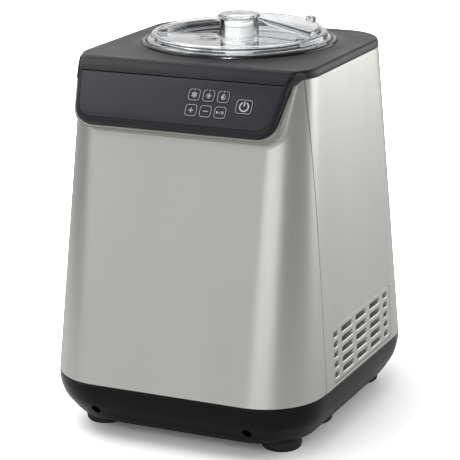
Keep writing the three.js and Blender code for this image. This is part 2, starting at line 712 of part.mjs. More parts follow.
function baseTray() {
  const outer = loft(FLANK.map(([z, inset, ends]) => baseRing(z, inset, ends)));
  const inner = loft([
    baseRing(SEAM.z + 2, 0, 0, WALL),
    baseRing(30, 2.8, 3.9, WALL),
    baseRing(FLOOR_Z + 3, 11.6, 14.2, WALL),
  ]);
  const ends = [-1, 1];
  const sites = ends.flatMap((x) => ends.map((y) => [x * SCREW.x, y]));
  const bosses = sites.map(([x, y]) => rodY(...between(y, 96, 124), x, SCREW.z, 8, 10));
  const sinks = sites.map(([x, y]) => rodY(...between(y, SCREW.y, 140), x, SCREW.z, SCREW.sink, 12));
  const bores = sites.map(([x, y]) => rodY(...between(y, 90, 120), x, SCREW.z, SCREW.shank + GAP, 8));
  const ledges = [-1, 1].map((side) => block(-60, 60, side * 90 - 8, side * 90 + 8, FLOOR_Z + 2, CHASSIS_Z - GAP));
  return cut(join(cut(outer, inner), ...bosses, ...ledges), ...sinks, ...bores);
}

// A span on the front (-1) or the back (+1) of the object, smallest value first.
const between = (side, near, far) => (side < 0 ? [-far, -near] : [near, far]);

function baseScrew(x, side) {
  const head = rodY(...between(side, SCREW.y + GAP, SCREW.y + 3.4), x, SCREW.z, SCREW.head, 10);
  const shank = rodY(...between(side, 92, SCREW.y + 1), x, SCREW.z, SCREW.shank, 8);
  const drive = block(x - 2.2, x + 2.2, ...between(side, SCREW.y + 2.2, SCREW.y + 5), SCREW.z - 0.6, SCREW.z + 0.6);
  return cut(join(head, shank), drive);
}

function foot(x, y) {
  return turned([
    [0, 0],
    [FOOT.tip, 0],
    [16.5, 1.2],
    [FOOT.radius, 3],
    [FOOT.radius, FLOOR_Z - GAP],
    [0, FLOOR_Z - GAP],
  ], 16, x, y);
}

function chassisPlate() {
  const sheet = prism(rectangle(-92, 92, -104, 104, 34), CHASSIS_Z, CHASSIS_Z + 1.5);
  const slots = [-60, 0, 60].map((x) => prism(rectangle(x - 20, x + 20, -84, -72, 5, 2), 10, 30));
  const sinks = [-1, 1].flatMap((x) => [-1, 1].map((y) => block(
    x * SCREW.x - 9, x * SCREW.x + 9, ...between(y, 92, 110), 10, 30)));
  return cut(sheet, ...slots, ...sinks);
}

// ---------------------------------------------------------------- vents and cord inlet

function ventGrille() {
  const outline = rectangle(
    VENT.fromY + GAP,
    VENT.toY - GAP,
    VENT.fromV + GAP,
    VENT.toV - GAP,
    3.7,
    3,
  );
  const slots = VENT_COLUMNS.flatMap(([from, to]) =>
    Array.from({ length: VENT.rows }, (_, row) => {
      const middle = VENT.firstRow + row * VENT.pitch;
      return prism(rectangle(from, to, middle - VENT.slot / 2, middle + VENT.slot / 2, 0), -6, 3);
    }),
  );
  return cut(prism(outline, -WALL, 0), ...slots).applyMatrix4(SIDE_MATRIX);
}

function cordGland() {
  const collar = turned([
    [3.6, -7],
    [6.3, -7],
    [6.3, GAP],
    [9.5, GAP],
    [9.5, 1.6],
    [8.4, 2.6],
    [3.6, 2.6],
  ], 14, 0, 0);
  return collar.translate(-GLAND.x, GLAND.z - SEAM.z, 0).applyMatrix4(REAR_MATRIX);
}

// ---------------------------------------------------------------- cooling system

function compressor() {
  const { x, y, radius, bottomZ, topZ, plateZ } = COMPRESSOR;
  const shell = turned([
    [0, bottomZ],
    [radius - 8, bottomZ],
    [radius - 1, 40],
    [radius, 78],
    [radius + 2, 79],
    [radius + 2, 83],
    [radius, 84],
    [radius - 1, 118],
    [radius - 7, 133],
    [radius - 20, 142],
    [radius - 38, topZ - 1],
    [0, topZ],
  ], 16, x, y);
  const plate = prism(rectangle(x - 56, x + 56, y - 46, y + 46, 10, 4), plateZ, plateZ + 3);
  const suction = post(x - 30, y, 4, 130, 156, 12);
  const discharge = rodX(x + radius - 4, x + radius + 6, y, 110, 4, 12);
  return join(shell, plate, suction, discharge);
}

const compressorMount = (dx, dy) =>
  turned([
    [0, CHASSIS_Z + 1.5 + GAP],
    [8, CHASSIS_Z + 1.5 + GAP],
    [8, 22],
    [5.5, 23.5],
    [5.5, 25],
    [7.5, 26.5],
    [7.5, COMPRESSOR.plateZ - GAP],
    [0, COMPRESSOR.plateZ - GAP],
  ], 10, COMPRESSOR.x + dx, COMPRESSOR.y + dy);

function starterCover() {
  const nearest = COMPRESSOR.y - COMPRESSOR.radius - 2 - GAP;
  return prism(rectangle(COMPRESSOR.x - 20, COMPRESSOR.x + 20, nearest - 20, nearest, 5, 3), 58, 104);
}

function condenser() {
  const { minX, maxX, minY, maxY, minZ, maxZ, fins } = CONDENSER;
  const pitch = (maxY - minY - 1) / (fins - 1);
  const plates = Array.from({ length: fins }, (_, i) => {
    const y = minY + i * pitch;
    return block(minX, maxX, y, y + 1, minZ, maxZ);
  });
  const tubes = [42, 82, 122].map((z) => block(88, 94, minY - 3, maxY + 3, z - 3, z + 3));
  return join(...plates, ...tubes);
}

function fanShroud() {
  const plate = block(72, 75, FAN.y - 50, FAN.y + 50, FAN.z - 50, FAN.z + 50);
  const eye = rodX(60, 90, FAN.y, FAN.z, FAN.radius + 3, 20);
  const posts = [-1, 1].map((side) =>
    block(55, 74, FAN.y - 5, FAN.y + 5, ...between(side, 45, 49).map((z) => FAN.z + z)),
  );
  const bar = block(55, 58, FAN.y - 5, FAN.y + 5, FAN.z - 49, FAN.z + 49);
  const legs = [-1, 1].map((side) =>
    block(72, 75, FAN.y + side * 40 - 6, FAN.y + side * 40 + 6, CHASSIS_Z + 1.5 + GAP, FAN.z - 48),
  );
  return cut(join(cut(plate, eye), ...posts, bar, ...legs), rodX(50, 60, FAN.y, FAN.z, 3, 12));
}

function fanBlade() {
  const hub = rodX(FAN.x + 1, FAN.x + 9, FAN.y, FAN.z, 12, 14);
  const shaft = rodX(50, FAN.x + 2, FAN.y, FAN.z, 1.8, 10);
  const blades = Array.from({ length: FAN.blades }, (_, i) =>
    new THREE.BoxGeometry(1.6, 20, FAN.radius - 10)
      .translate(0, 0, (FAN.radius + 10) / 2)
      .rotateZ(0.45)
      .rotateX((2 * Math.PI * i) / FAN.blades)
      .translate(FAN.x + 5, FAN.y, FAN.z),
  );
  return join(hub, shaft, ...blades);
}

function fanMotor() {
  const can = rodX(30, 55 - GAP, FAN.y, FAN.z, 17, 20);
  return cut(can, rodX(45, 60, FAN.y, FAN.z, 2.2, 10));
}

function filterDrier() {
  const { x, y, radius, fromZ, toZ } = DRIER;
  return turned([
    [0, fromZ],
    [3, fromZ],
    [3, fromZ + 5],
    [radius, fromZ + 12],
    [radius, toZ - 12],
    [3, toZ - 5],
    [3, toZ],
    [0, toZ],
  ], 16, x, y);
}

function dischargePipe() {
  const start = COMPRESSOR.x + COMPRESSOR.radius + 6 + GAP;
  return pipe([
    [start, COMPRESSOR.y, 110],
    [start + 8, COMPRESSOR.y, 110],
    [40, 62, 112],
    [56, 80, 116],
    [78, 88, 120],
    [91, 82, 122],
    [91, CONDENSER.maxY + 3 + GAP, 122],
  ], 3, 18, 6);
}

function liquidPipe() {
  return pipe([
    [91, CONDENSER.minY - 3 - GAP, 42],
    [91, -48, 42],
    [76, -66, 41],
    [30, -80, 39],
    [-30, -82, 37],
    [-60, -74, 35],
    [-68, -64, 35],
    [DRIER.x, DRIER.y, 40],
    [DRIER.x, DRIER.y, 45],
    [DRIER.x, DRIER.y, DRIER.fromZ - GAP],
  ], 2.6, 28, 6);
}

function capillaryTube() {
  const [x, y] = suctionPlace(COIL.radius);
  return pipe([
    [DRIER.x, DRIER.y, DRIER.toZ + GAP],
    [DRIER.x, DRIER.y, 120],
    [-66, -51, 140],
    [x - 2, y - 2, 160],
    [x, y, 176],
    [x, y, 186],
    [x, y, COIL.fromZ - COIL.tube - 2],
  ], 1.4, 20, 6);
}

function suctionPipe() {
  const [x, y] = suctionPlace(SUCTION.radius);
  const [nearX, nearY] = suctionPlace(COIL.radius + COIL.tube + 1.2);
  return pipe([
    [nearX, nearY, COIL.toZ],
    [x + 1.5, y + 1.5, COIL.toZ - 1],
    [x, y, COIL.toZ - 6],
    [x, y, 240],
    [x, y, 190],
    [x, y, 172],
    [x - 6, y + 14, 160],
    [-78, 0, 156],
    [-78, 24, 162],
    [-72, 38, 166],
    [COMPRESSOR.x - 30, COMPRESSOR.y, 163],
    [COMPRESSOR.x - 30, COMPRESSOR.y, 156 + GAP],
  ], 2.6, 34, 6);
}

function powerBoard() {
  const board = block(-101, -99.4, -66, -8, CHASSIS_Z + 1.5 + GAP, 112);
  const pieces = [
    block(-99.5, -84, -62, -44, 70, 92),
    block(-99.5, -88, -38, -26, 50, 74),
    block(-99.5, -90, -22, -12, 52, 66),
    block(-99.5, -86, -36, -14, 84, 104),
  ];
  return join(board, ...pieces);
}

// ---------------------------------------------------------------- assembly

function part(name, geometry, finish) {
  geometry.computeVertexNormals();
  const mesh = new THREE.Mesh(geometry, new THREE.MeshStandardMaterial(finish));
  mesh.name = name;
  return mesh;
}

const machine = new THREE.Group();
machine.add(
  part("housing_wrap", housingWrap(), FINISH.silver),
  part("front_panel", frontPanel(), FINISH.silver),
  part("top_cover", topCover(), FINISH.charcoal),
  part("opening_ring", openingRing(), FINISH.gloss),
  part("base_tray", baseTray(), FINISH.black),
  part("chassis_plate", chassisPlate(), FINISH.steel),
  part("vent_grille_right", ventGrille(), FINISH.silver),
  part("vent_grille_left", mirrored(ventGrille()), FINISH.silver),
  part("cord_gland", cordGland(), FINISH.rubber),
  part("lid", lid(), FINISH.clear),
  part("refill_door", refillDoor(), FINISH.clear),
  part("bowl", bowl(), FINISH.aluminium),
  part("paddle", paddle(), FINISH.white),
  part("evaporator_cup", evaporatorCup(), FINISH.aluminium),
  part("evaporator_coil", evaporatorCoil(), FINISH.copper),
  part("insulation_block", insulationBlock(), FINISH.foam),
  part("drive_shaft", driveShaft(), FINISH.steel),
  part("shaft_bush", shaftBush(), FINISH.black),
  part("output_gear", outputGear(), FINISH.gear),
  part("idler_gear", idlerGear(), FINISH.gear),
  part("idler_pin", post(IDLER.x, IDLER.y, IDLER.pin, 153.5, 172.5, 12), FINISH.steel),
  part("motor_pinion", motorPinion(), FINISH.steel),
  part("gearbox_case", gearboxCase(), FINISH.black),
  part("gearbox_cover", gearboxCover(), FINISH.black),
  part("churn_motor", churnMotor(), FINISH.steel),
  part("compressor", compressor(), FINISH.black),
  part("starter_cover", starterCover(), FINISH.black),
  part("condenser", condenser(), FINISH.aluminium),
  part("fan_shroud", fanShroud(), FINISH.black),
  part("fan_blade", fanBlade(), FINISH.black),
  part("fan_motor", fanMotor(), FINISH.steel),
  part("filter_drier", filterDrier(), FINISH.copper),
  part("discharge_pipe", dischargePipe(), FINISH.copper),
  part("liquid_pipe", liquidPipe(), FINISH.copper),
  part("capillary_tube", capillaryTube(), FINISH.copper),
  part("suction_pipe", suctionPipe(), FINISH.copper),
  part("power_board", powerBoard(), FINISH.board),
);

// Feet, screws and mounts stand in pairs on the left (-X) and the right (+X).
for (const [side, sign] of [["left", -1], ["right", 1]]) {
  for (const [row, y] of Object.entries(FOOT.rows)) {
    machine.add(part(`foot_${row}_${side}`, foot(sign * FOOT.x, y), FINISH.rubber));
  }
  for (const [row, end] of [["front", -1], ["rear", 1]]) {
    machine.add(part(`base_screw_${row}_${side}`, baseScrew(sign * SCREW.x, end), FINISH.steel));
    machine.add(part(`compressor_mount_${row}_${side}`, compressorMount(sign * 46, end * 36), FINISH.rubber));
  }
}

// The fascia, its keys and the board behind them share the panel's sloping frame.
const panel = new THREE.Group();
panel.applyMatrix4(PANEL_MATRIX);
panel.add(part("control_fascia", controlFascia(), FINISH.charcoal));
panel.add(part("display_board", displayBoard(), FINISH.board));
KEY_NAMES.forEach((names, row) =>
  names.forEach((name, column) => {
    const key = part(name, keyCap(KEY.width, KEY.height), FINISH.charcoal);
    key.position.set(KEY_COLUMNS[column], -KEY_ROWS[row], 0);
    panel.add(key);
  }),
);
const powerKey = part("key_power", keyCap(POWER_KEY.width, POWER_KEY.height), FINISH.charcoal);
powerKey.position.set(POWER_KEY.x, -POWER_KEY.s, 0);
panel.add(powerKey);
machine.add(panel);

export default machine;
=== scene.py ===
"""Countertop compressor ice cream maker: its visible pieces and finishes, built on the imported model.

Sizes in the classes are millimetres in the object's own frame: +Z up, the control panel faces -Y, and the
origin is on the floor under the middle of the base. Shell.make() turns them to metres.
"""

import json
import logging
import math
from dataclasses import dataclass, field
from enum import Enum
from typing import Callable, Iterable, Sequence

import bmesh
import bpy
import numpy as np
from mathutils import Matrix, Vector


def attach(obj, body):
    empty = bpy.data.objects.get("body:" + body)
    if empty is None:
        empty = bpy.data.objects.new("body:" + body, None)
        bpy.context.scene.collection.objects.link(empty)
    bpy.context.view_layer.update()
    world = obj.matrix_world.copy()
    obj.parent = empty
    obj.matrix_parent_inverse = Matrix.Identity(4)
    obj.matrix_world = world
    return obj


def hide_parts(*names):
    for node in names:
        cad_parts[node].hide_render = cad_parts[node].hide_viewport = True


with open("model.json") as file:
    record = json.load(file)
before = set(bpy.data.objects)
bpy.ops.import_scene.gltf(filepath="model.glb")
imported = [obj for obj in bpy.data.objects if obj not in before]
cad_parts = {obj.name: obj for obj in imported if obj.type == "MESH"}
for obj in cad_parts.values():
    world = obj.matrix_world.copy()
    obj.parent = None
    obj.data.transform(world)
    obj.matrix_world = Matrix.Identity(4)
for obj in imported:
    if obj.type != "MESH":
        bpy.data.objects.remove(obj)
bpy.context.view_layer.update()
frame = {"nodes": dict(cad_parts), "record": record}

LOG = logging.getLogger("ice_cream_maker")
Piece = bpy.types.Object
Array = np.ndarray
Pair = tuple[float, float]
Triple = tuple[float, float, float]
Quad = tuple[float, float, float, float]
Pairs = tuple[Pair, ...]
Triples = tuple[Triple, ...]
MM = 0.001
GAP = 0.3
WALL = 2.4
BOWL_AXIS = (0.0, 19.8)
SHARP_ANGLE = 32.0
STRAIGHT_HALF_ANGLE = 1.5707


# ---------------------------------------------------------------- arrays


def ease(value: Array) -> Array:
    """Returns 0 below 0, 1 above 1 and the smooth cubic 3t² - 2t³ between them."""
    t = np.clip(value, 0.0, 1.0)
    return t * t * (3.0 - 2.0 * t)


def unit(vectors: Array) -> Array:
    """Returns the vectors scaled to length one along the last axis."""
    return vectors / np.maximum(np.linalg.norm(vectors, axis=-1, keepdims=True), 1e-12)


def blend(first: Array, last: Array, shares: Array) -> Array:
    """Stacks straight-line mixes of two equal arrays, one for each share.

    Args:
        first: the array at share 0.
        last: the array at share 1.
        shares: the shares, in order.

    Returns:
        An array with one more axis in front, as long as shares.
    """
    weight = np.asarray(shares).reshape(-1, *([1] * np.ndim(first)))
    return first * (1.0 - weight) + last * weight


def corner_arc(
    before: Array, corner: Array, after: Array, radius: float, steps: int
) -> Array:
    """Rounds one corner of a polygon by the circle that touches both its edges.

    Args:
        before: the corner before it.
        corner: the corner to round.
        after: the corner after it.
        radius: the circle's radius, or 0 for a sharp corner.
        steps: how many chords the arc has.

    Returns:
        steps + 1 points along the arc.
    """
    back = unit(before - corner)
    ahead = unit(after - corner)
    half = 0.5 * math.acos(float(np.clip(back @ ahead, -1.0, 1.0)))
    if radius <= 0.0 or half > STRAIGHT_HALF_ANGLE:
        return np.repeat(corner[None], steps + 1, axis=0)
    centre = corner + unit(back + ahead) * radius / math.sin(half)
    start = corner + back * radius / math.tan(half) - centre
    side = math.copysign(1.0, float(ahead[0] * back[1] - ahead[1] * back[0]))
    angle = side * np.linspace(0.0, math.pi - 2.0 * half, steps + 1)
    return centre + np.stack(
        [
            start[0] * np.cos(angle) - start[1] * np.sin(angle),
            start[0] * np.sin(angle) + start[1] * np.cos(angle),
        ],
        axis=-1,
    )


def outline(
    corners: Sequence[Triple], steps: int = 8, edge: int = 6, closed: bool = True
) -> Array:
    """Draws a polygon with rounded corners and evenly divided edges.

    Args:
        corners: (x, y, radius) of each corner, in order.
        steps: chords in each rounded corner.
        edge: divisions of each straight edge.
        closed: whether the last corner joins the first.

    Returns:
        An (n, 2) array of points, with the same n for any corners of the same count.
    """
    places = np.array([[x, y] for x, y, _ in corners], float)
    count = len(corners)
    arcs = []
    for i, (x, y, radius) in enumerate(corners):
        inner = closed or 0 < i < count - 1
        if inner:
            arcs.append(corner_arc(places[i - 1], places[i], places[(i + 1) % count], radius, steps))
        else:
            arcs.append(places[i][None])
    pieces = []
    share = np.linspace(0.0, 1.0, edge + 1)[1:-1]
    for i in range(count):
        pieces.append(arcs[i])
        if closed or i < count - 1:
            pieces.append(blend(arcs[i][-1], arcs[(i + 1) % count][0], share))
    return np.concatenate(pieces)


def slab_corners(
    half_x: float, half_y: float, radius: float, x: float = 0.0, y: float = 0.0
) -> list[Triple]:
    """Returns the four corners, as (x, y, radius), of a rounded rectangle about (x, y)."""
    return [
        (x - half_x, y - half_y, radius),
        (x + half_x, y - half_y, radius),
        (x + half_x, y + half_y, radius),
        (x - half_x, y + half_y, radius),
    ]


def inset(path: Array, distance: float | Array) -> Array:
    """Moves a closed outline inwards, each point along the bisector of its two edges.

    Args:
        path: the outline's (x, y) points.
        distance: how far it moves, as one number or as a column with one for each point.

    Returns:
        The moved outline.
    """
    ahead = unit(np.roll(path, -1, axis=0) - path)
    behind = unit(path - np.roll(path, 1, axis=0))
    tangent = unit(ahead + behind)
    x, y = path.T
    area = 0.5 * float(np.sum(x * np.roll(y, -1) - np.roll(x, -1) * y))
    inward = np.stack([-tangent[:, 1], tangent[:, 0]], axis=-1) * math.copysign(1.0, area)
    stretch = np.maximum(np.sum(tangent * ahead, axis=-1, keepdims=True), 0.5)
    return path + inward * distance / stretch


def raised(path: Array, height: float | Array) -> Array:
    """Gives an outline of (x, y) points a third coordinate."""
    column = np.full((len(path), 1), height) if np.isscalar(height) else height[:, None]
    return np.concatenate([path, column], axis=-1)


def core(path: Array, share: float = 0.04) -> Array:
    """Shrinks an outline to a sliver along its middle line.

    Args:
        path: the outline's (x, y) points.
        share: how much of its distance from the middle line each point keeps.

    Returns:
        The sliver, with as many points.
    """
    low = path.min(axis=0)
    high = path.max(axis=0)
    half = (high - low) / 2.0
    reach = np.maximum(half - half.min(), 0.0)
    middle = (low + high) / 2.0
    line_point = np.clip(path, middle - reach, middle + reach)
    return line_point + (path - line_point) * share


# ---------------------------------------------------------------- meshes


@dataclass
class Shell:
    """Gathers surface patches, in millimetres, and makes them one mesh object."""

    points: list[Array] = field(default_factory=list)
    faces: list[list[int]] = field(default_factory=list)
    count: int = 0

    def grid(
        self, surface: Array, around: bool = False, along: bool = False, keep: Array | None = None
    ) -> Array:
        """Adds a surface of rows × columns points as quads.

        Args:
            surface: (rows, columns, 3) points.
            around: whether the last column joins the first.
            along: whether the last row joins the first.
            keep: for each quad, whether it is there.

        Returns:
            The index of each point, as a rows × columns array.
        """
        rows, columns = surface.shape[:2]
        index = self.count + np.arange(rows * columns).reshape(rows, columns)
        net = np.concatenate([index, index[:, :1]], axis=1) if around else index
        net = np.concatenate([net, net[:1]], axis=0) if along else net
        quads = np.stack([net[:-1, :-1], net[:-1, 1:], net[1:, 1:], net[1:, :-1]], axis=-1)
        if keep is not None:
            quads = quads[keep]
        self.points.append(surface.reshape(-1, 3))
        self.faces.extend(quads.reshape(-1, 4).tolist())
        self.count += rows * columns
        return index

    def tube(self, rings: Array) -> Array:
        """Adds rings of points skinned in order, with a flat face at each end.

        Args:
            rings: (rings, points, 3) points.

        Returns:
            The index of each point, as a rings × points array.
        """
        index = self.grid(rings, around=True)
        self.faces.append(index[0, ::-1].tolist())
        self.faces.append(index[-1].tolist())
        return index

    def make(self, name: str, closed: bool = True, sharp: float = SHARP_ANGLE) -> Piece:
        """Makes the mesh object.

        Args:
            name: the object's name.
            closed: whether the patches close, so that their faces are turned outwards.
            sharp: the angle in degrees above which an edge stays sharp.

        Returns:
            The object, at the origin, in metres, with smooth shading.
        """
        mesh = bpy.data.meshes.new(name)
        mesh.from_pydata((np.concatenate(self.points) * MM).tolist(), [], self.faces)
        welded = bmesh.new()
        welded.from_mesh(mesh)
        bmesh.ops.remove_doubles(welded, verts=welded.verts[:], dist=1e-6)
        bmesh.ops.dissolve_degenerate(welded, edges=welded.edges[:], dist=1e-7)
        if closed:
            bmesh.ops.recalc_face_normals(welded, faces=welded.faces[:])
        welded.to_mesh(mesh)
        welded.free()
        mesh.shade_smooth()
        mesh.set_sharp_from_angle(angle=math.radians(sharp))
        made = bpy.data.objects.new(name, mesh)
        bpy.context.scene.collection.objects.link(made)
        return made


def turned(
    profile: Sequence[Pair], segments: int, x: float = 0.0, y: float = 0.0
) -> Array:
    """Carries a profile round an upright axis.

    Point (i, j) is (x + r_i cos t_j, y + r_i sin t_j, z_i), where t_j goes once round.

    Args:
        profile: (radius, height) points, in order.
        segments: divisions round the axis.
        x: the axis, across.
        y: the axis, deep.

    Returns:
        (profile, segments, 3) points.
    """
    radius, height = np.array(profile, float).T
    angle = np.linspace(0.0, 2.0 * math.pi, segments, endpoint=False)
    across = radius[:, None] * np.cos(angle) + x
    deep = radius[:, None] * np.sin(angle) + y
    return np.stack([across, deep, np.broadcast_to(height[:, None], across.shape)], axis=-1)


def soften(
    profile: Sequence[Pair], radius: float, steps: int = 4, closed: bool = True
) -> Array:
    """Rounds every corner of a profile by up to a radius, as far as its edges allow.

    Args:
        profile: (radius, height) corners, in order.
        radius: the rounding wanted.
        steps: chords in each rounding.
        closed: whether the last corner joins the first.

    Returns:
        The points of the rounded profile.
    """
    places = np.array(profile, float)
    count = len(places)
    rounded = []
    for i in range(count):
        before = places[i - 1]
        after = places[(i + 1) % count]
        if not closed and i in (0, count - 1):
            rounded.append(places[i][None])
            continue
        back = np.linalg.norm(before - places[i])
        ahead = np.linalg.norm(after - places[i])
        cosine = float(np.clip(unit(before - places[i]) @ unit(after - places[i]), -1.0, 1.0))
        half = 0.5 * math.acos(cosine)
        room = 0.45 * min(back, ahead) * math.tan(half)
        rounded.append(corner_arc(before, places[i], after, min(radius, room), steps))
    return np.concatenate(rounded)


def solid_of_revolution(
    name: str,
    profile: Sequence[Pair],
    radius: float = 0.6,
    segments: int = 128,
    x: float = 0.0,
    y: float = 0.0,
    sharp: float = SHARP_ANGLE,
) -> Piece:
    """Makes a closed profile with softened corners into a turned object about (x, y).

    Args:
        name: the object's name.
        profile: (radius, height) corners; a profile that starts and ends at radius 0 closes on the axis.
        radius: the rounding of its corners.
        segments: divisions round the axis.
        x: the axis, across.
        y: the axis, deep.
        sharp: the angle in degrees above which an edge stays sharp.

    Returns:
        The object.
    """
    shell = Shell()
    on_axis = profile[0][0] == 0 and profile[-1][0] == 0
    path = soften(profile, radius, closed=not on_axis)
    shell.grid(turned(path, segments, x, y), around=True, along=not on_axis)
    return shell.make(name, sharp=sharp)


def modify(piece: Piece, kind: str, **settings: object) -> Piece:
    """Adds a modifier to a piece.

    Args:
        piece: the piece.
        kind: the modifier's type name.
        settings: the modifier's own properties.

    Returns:
        The piece.
    """
    modifier = piece.modifiers.new(kind.title(), kind)
    for name, value in settings.items():
        setattr(modifier, name, value)
    return piece


def applied(piece: Piece) -> Piece:
    """Replaces a piece's mesh by what its modifiers make of it.

    Args:
        piece: the piece.

    Returns:
        The piece.
    """
    graph = bpy.context.evaluated_depsgraph_get()
    result = bpy.data.meshes.new_from_object(piece.evaluated_get(graph))
    piece.modifiers.clear()
    piece.data = result
    return piece


def cut_away(piece: Piece, cutters: Iterable[Piece]) -> Piece:
    """Subtracts closed cutters from a piece and removes them.

    Args:
        piece: the piece.
        cutters: the cutters.

    Returns:
        The piece.
    """
    tools = list(cutters)
    for tool in tools:
        modify(piece, "BOOLEAN", operation="DIFFERENCE", object=tool, solver="EXACT")
    bpy.context.view_layer.update()
    applied(piece)
    for tool in tools:
        bpy.data.objects.remove(tool)
    piece.data.set_sharp_from_angle(angle=math.radians(SHARP_ANGLE))
    return piece


# ---------------------------------------------------------------- node groups


class Kind(Enum):
    """Socket kinds of the shared node groups."""

    NUMBER = "NodeSocketFloat"
    COLOUR = "NodeSocketColor"
    VECTOR = "NodeSocketVector"


@dataclass
class Nodes:
    """Adds and links nodes in one node tree."""

    tree: bpy.types.NodeTree

    def add(
        self, kind: str, inputs: dict[str | int, object] | None = None, **settings: object
    ) -> bpy.types.Node:
        """Adds a node.

        Args:
            kind: the node's type name.
            inputs: for each input, a value or the output socket that feeds it.
            settings: the node's own properties.

        Returns:
            The node.
        """
        node = self.tree.nodes.new(kind)
        for name, value in settings.items():
            setattr(node, name, value)
        for name, value in (inputs or {}).items():
            if isinstance(value, bpy.types.NodeSocket):
                self.tree.links.new(value, node.inputs[name])
            else:
                node.inputs[name].default_value = value
        return node

    def math(self, operation: str, first: object, second: object = 0.0) -> bpy.types.NodeSocket:
        """Adds a Math node and returns its output."""
        return self.add("ShaderNodeMath", {0: first, 1: second}, operation=operation).outputs[0]

    def noise(
        self, place: bpy.types.NodeSocket, scale: object, detail: float, distortion: float = 0.0
    ) -> bpy.types.NodeSocket:
        """Adds a Noise Texture at a place and returns its value."""
        values = {"Vector": place, "Scale": scale, "Detail": detail, "Distortion": distortion}
        return self.add("ShaderNodeTexNoise", values).outputs[0]

    def ramp(
        self, value: bpy.types.NodeSocket, low: float, high: float, start: float, end: float
    ) -> bpy.types.NodeSocket:
        """Maps a value from low..high to start..end, held at both ends, and returns the output."""
        values = {"Value": value, "From Min": low, "From Max": high, "To Min": start, "To Max": end}
        return self.add("ShaderNodeMapRange", values).outputs["Result"]


def new_group(
    name: str, inputs: dict[str, tuple[Kind, object]], outputs: dict[str, Kind]
) -> tuple[Nodes, bpy.types.Node, bpy.types.Node]:
    """Starts a shader node group.

    Args:
        name: the group's name.
        inputs: for each input, its kind and first value.
        outputs: for each output, its kind.

    Returns:
        The node maker, the group's input node and its output node.
    """
    tree = bpy.data.node_groups.new(name, "ShaderNodeTree")
    for socket, (kind, value) in inputs.items():
        made = tree.interface.new_socket(name=socket, in_out="INPUT", socket_type=kind.value)
        made.default_value = value
    for socket, kind in outputs.items():
        tree.interface.new_socket(name=socket, in_out="OUTPUT", socket_type=kind.value)
    nodes = Nodes(tree)
    return nodes, nodes.add("NodeGroupInput"), nodes.add("NodeGroupOutput")


def grain_group() -> bpy.types.NodeTree:
    """Moulded or drawn grain: noise on Object coordinates, stretched by the Stretch vector.

    Its Height is fine noise plus a third of coarse noise, and Tone is slow variation about 0.5.

    Returns:
        The node group.
    """
    nodes, given, result = new_group(
        "surface_grain",
        {"Stretch": (Kind.VECTOR, (1.0, 1.0, 1.0)), "Scale": (Kind.NUMBER, 1500.0)},
        {"Height": Kind.NUMBER, "Tone": Kind.NUMBER},
    )
    place = nodes.add("ShaderNodeTexCoord").outputs["Object"]
    factors = {0: place, 1: given.outputs["Stretch"]}
    stretched = nodes.add("ShaderNodeVectorMath", factors, operation="MULTIPLY")
    spread = stretched.outputs[0]
    fine = nodes.noise(spread, given.outputs["Scale"], 3.0)
    coarse = nodes.noise(spread, nodes.math("MULTIPLY", given.outputs["Scale"], 0.22), 2.0)
    slow = nodes.noise(spread, 14.0, 2.0)
    both = nodes.math("ADD", fine, nodes.math("MULTIPLY", coarse, 0.35))
    nodes.tree.links.new(both, result.inputs["Height"])
    nodes.tree.links.new(slow, result.inputs["Tone"])
    return nodes.tree


def wear_group() -> bpy.types.NodeTree:
    """Rubbed edges: where the surface is convex (Pointiness above a threshold), broken up by noise.

    Returns:
        The node group.
    """
    nodes, given, result = new_group(
        "edge_wear",
        {"Amount": (Kind.NUMBER, 0.5), "Threshold": (Kind.NUMBER, 0.53)},
        {"Mask": Kind.NUMBER},
    )
    convex = nodes.add("ShaderNodeNewGeometry").outputs["Pointiness"]
    place = nodes.add("ShaderNodeTexCoord").outputs["Object"]
    patchy = nodes.noise(place, 90.0, 4.0)
    above = nodes.math("SUBTRACT", convex, given.outputs["Threshold"])
    edge = nodes.ramp(above, 0.0, 0.06, 0.0, 1.0)
    broken = nodes.math("MULTIPLY", edge, nodes.ramp(patchy, 0.35, 0.65, 0.3, 1.0))
    nodes.tree.links.new(nodes.math("MULTIPLY", broken, given.outputs["Amount"]), result.inputs["Mask"])
    return nodes.tree


def marks_group() -> bpy.types.NodeTree:
    """Handling marks: soft smudges from a warped noise, more on faces that look up.

    Returns:
        The node group.
    """
    nodes, given, result = new_group(
        "handling_marks",
        {"Amount": (Kind.NUMBER, 0.3), "Scale": (Kind.NUMBER, 30.0)},
        {"Mask": Kind.NUMBER},
    )
    place = nodes.add("ShaderNodeTexCoord").outputs["Object"]
    blots = nodes.noise(place, given.outputs["Scale"], 5.0, 1.2)
    facing = nodes.add("ShaderNodeNewGeometry").outputs["Normal"]
    upward = nodes.add("ShaderNodeSeparateXYZ", {0: facing}).outputs["Z"]
    settled = nodes.ramp(upward, 0.0, 1.0, 0.5, 1.0)
    marks = nodes.math("MULTIPLY", nodes.ramp(blots, 0.42, 0.75, 0.0, 1.0), settled)
    nodes.tree.links.new(nodes.math("MULTIPLY", marks, given.outputs["Amount"]), result.inputs["Mask"])
    return nodes.tree


@dataclass(frozen=True)
class Effects:
    """The shared shader node groups."""

    grain: bpy.types.NodeTree
    wear: bpy.types.NodeTree
    marks: bpy.types.NodeTree


EFFECTS = Effects(grain_group(), wear_group(), marks_group())


# ---------------------------------------------------------------- finishes


def blank_material(name: str) -> tuple[bpy.types.Material, Nodes]:
    """Makes a node material without nodes.

    Args:
        name: the material's name.

    Returns:
        The material and the maker of its nodes.
    """
    made = bpy.data.materials.new(name)
    made.use_nodes = True
    made.node_tree.nodes.clear()
    return made, Nodes(made.node_tree)


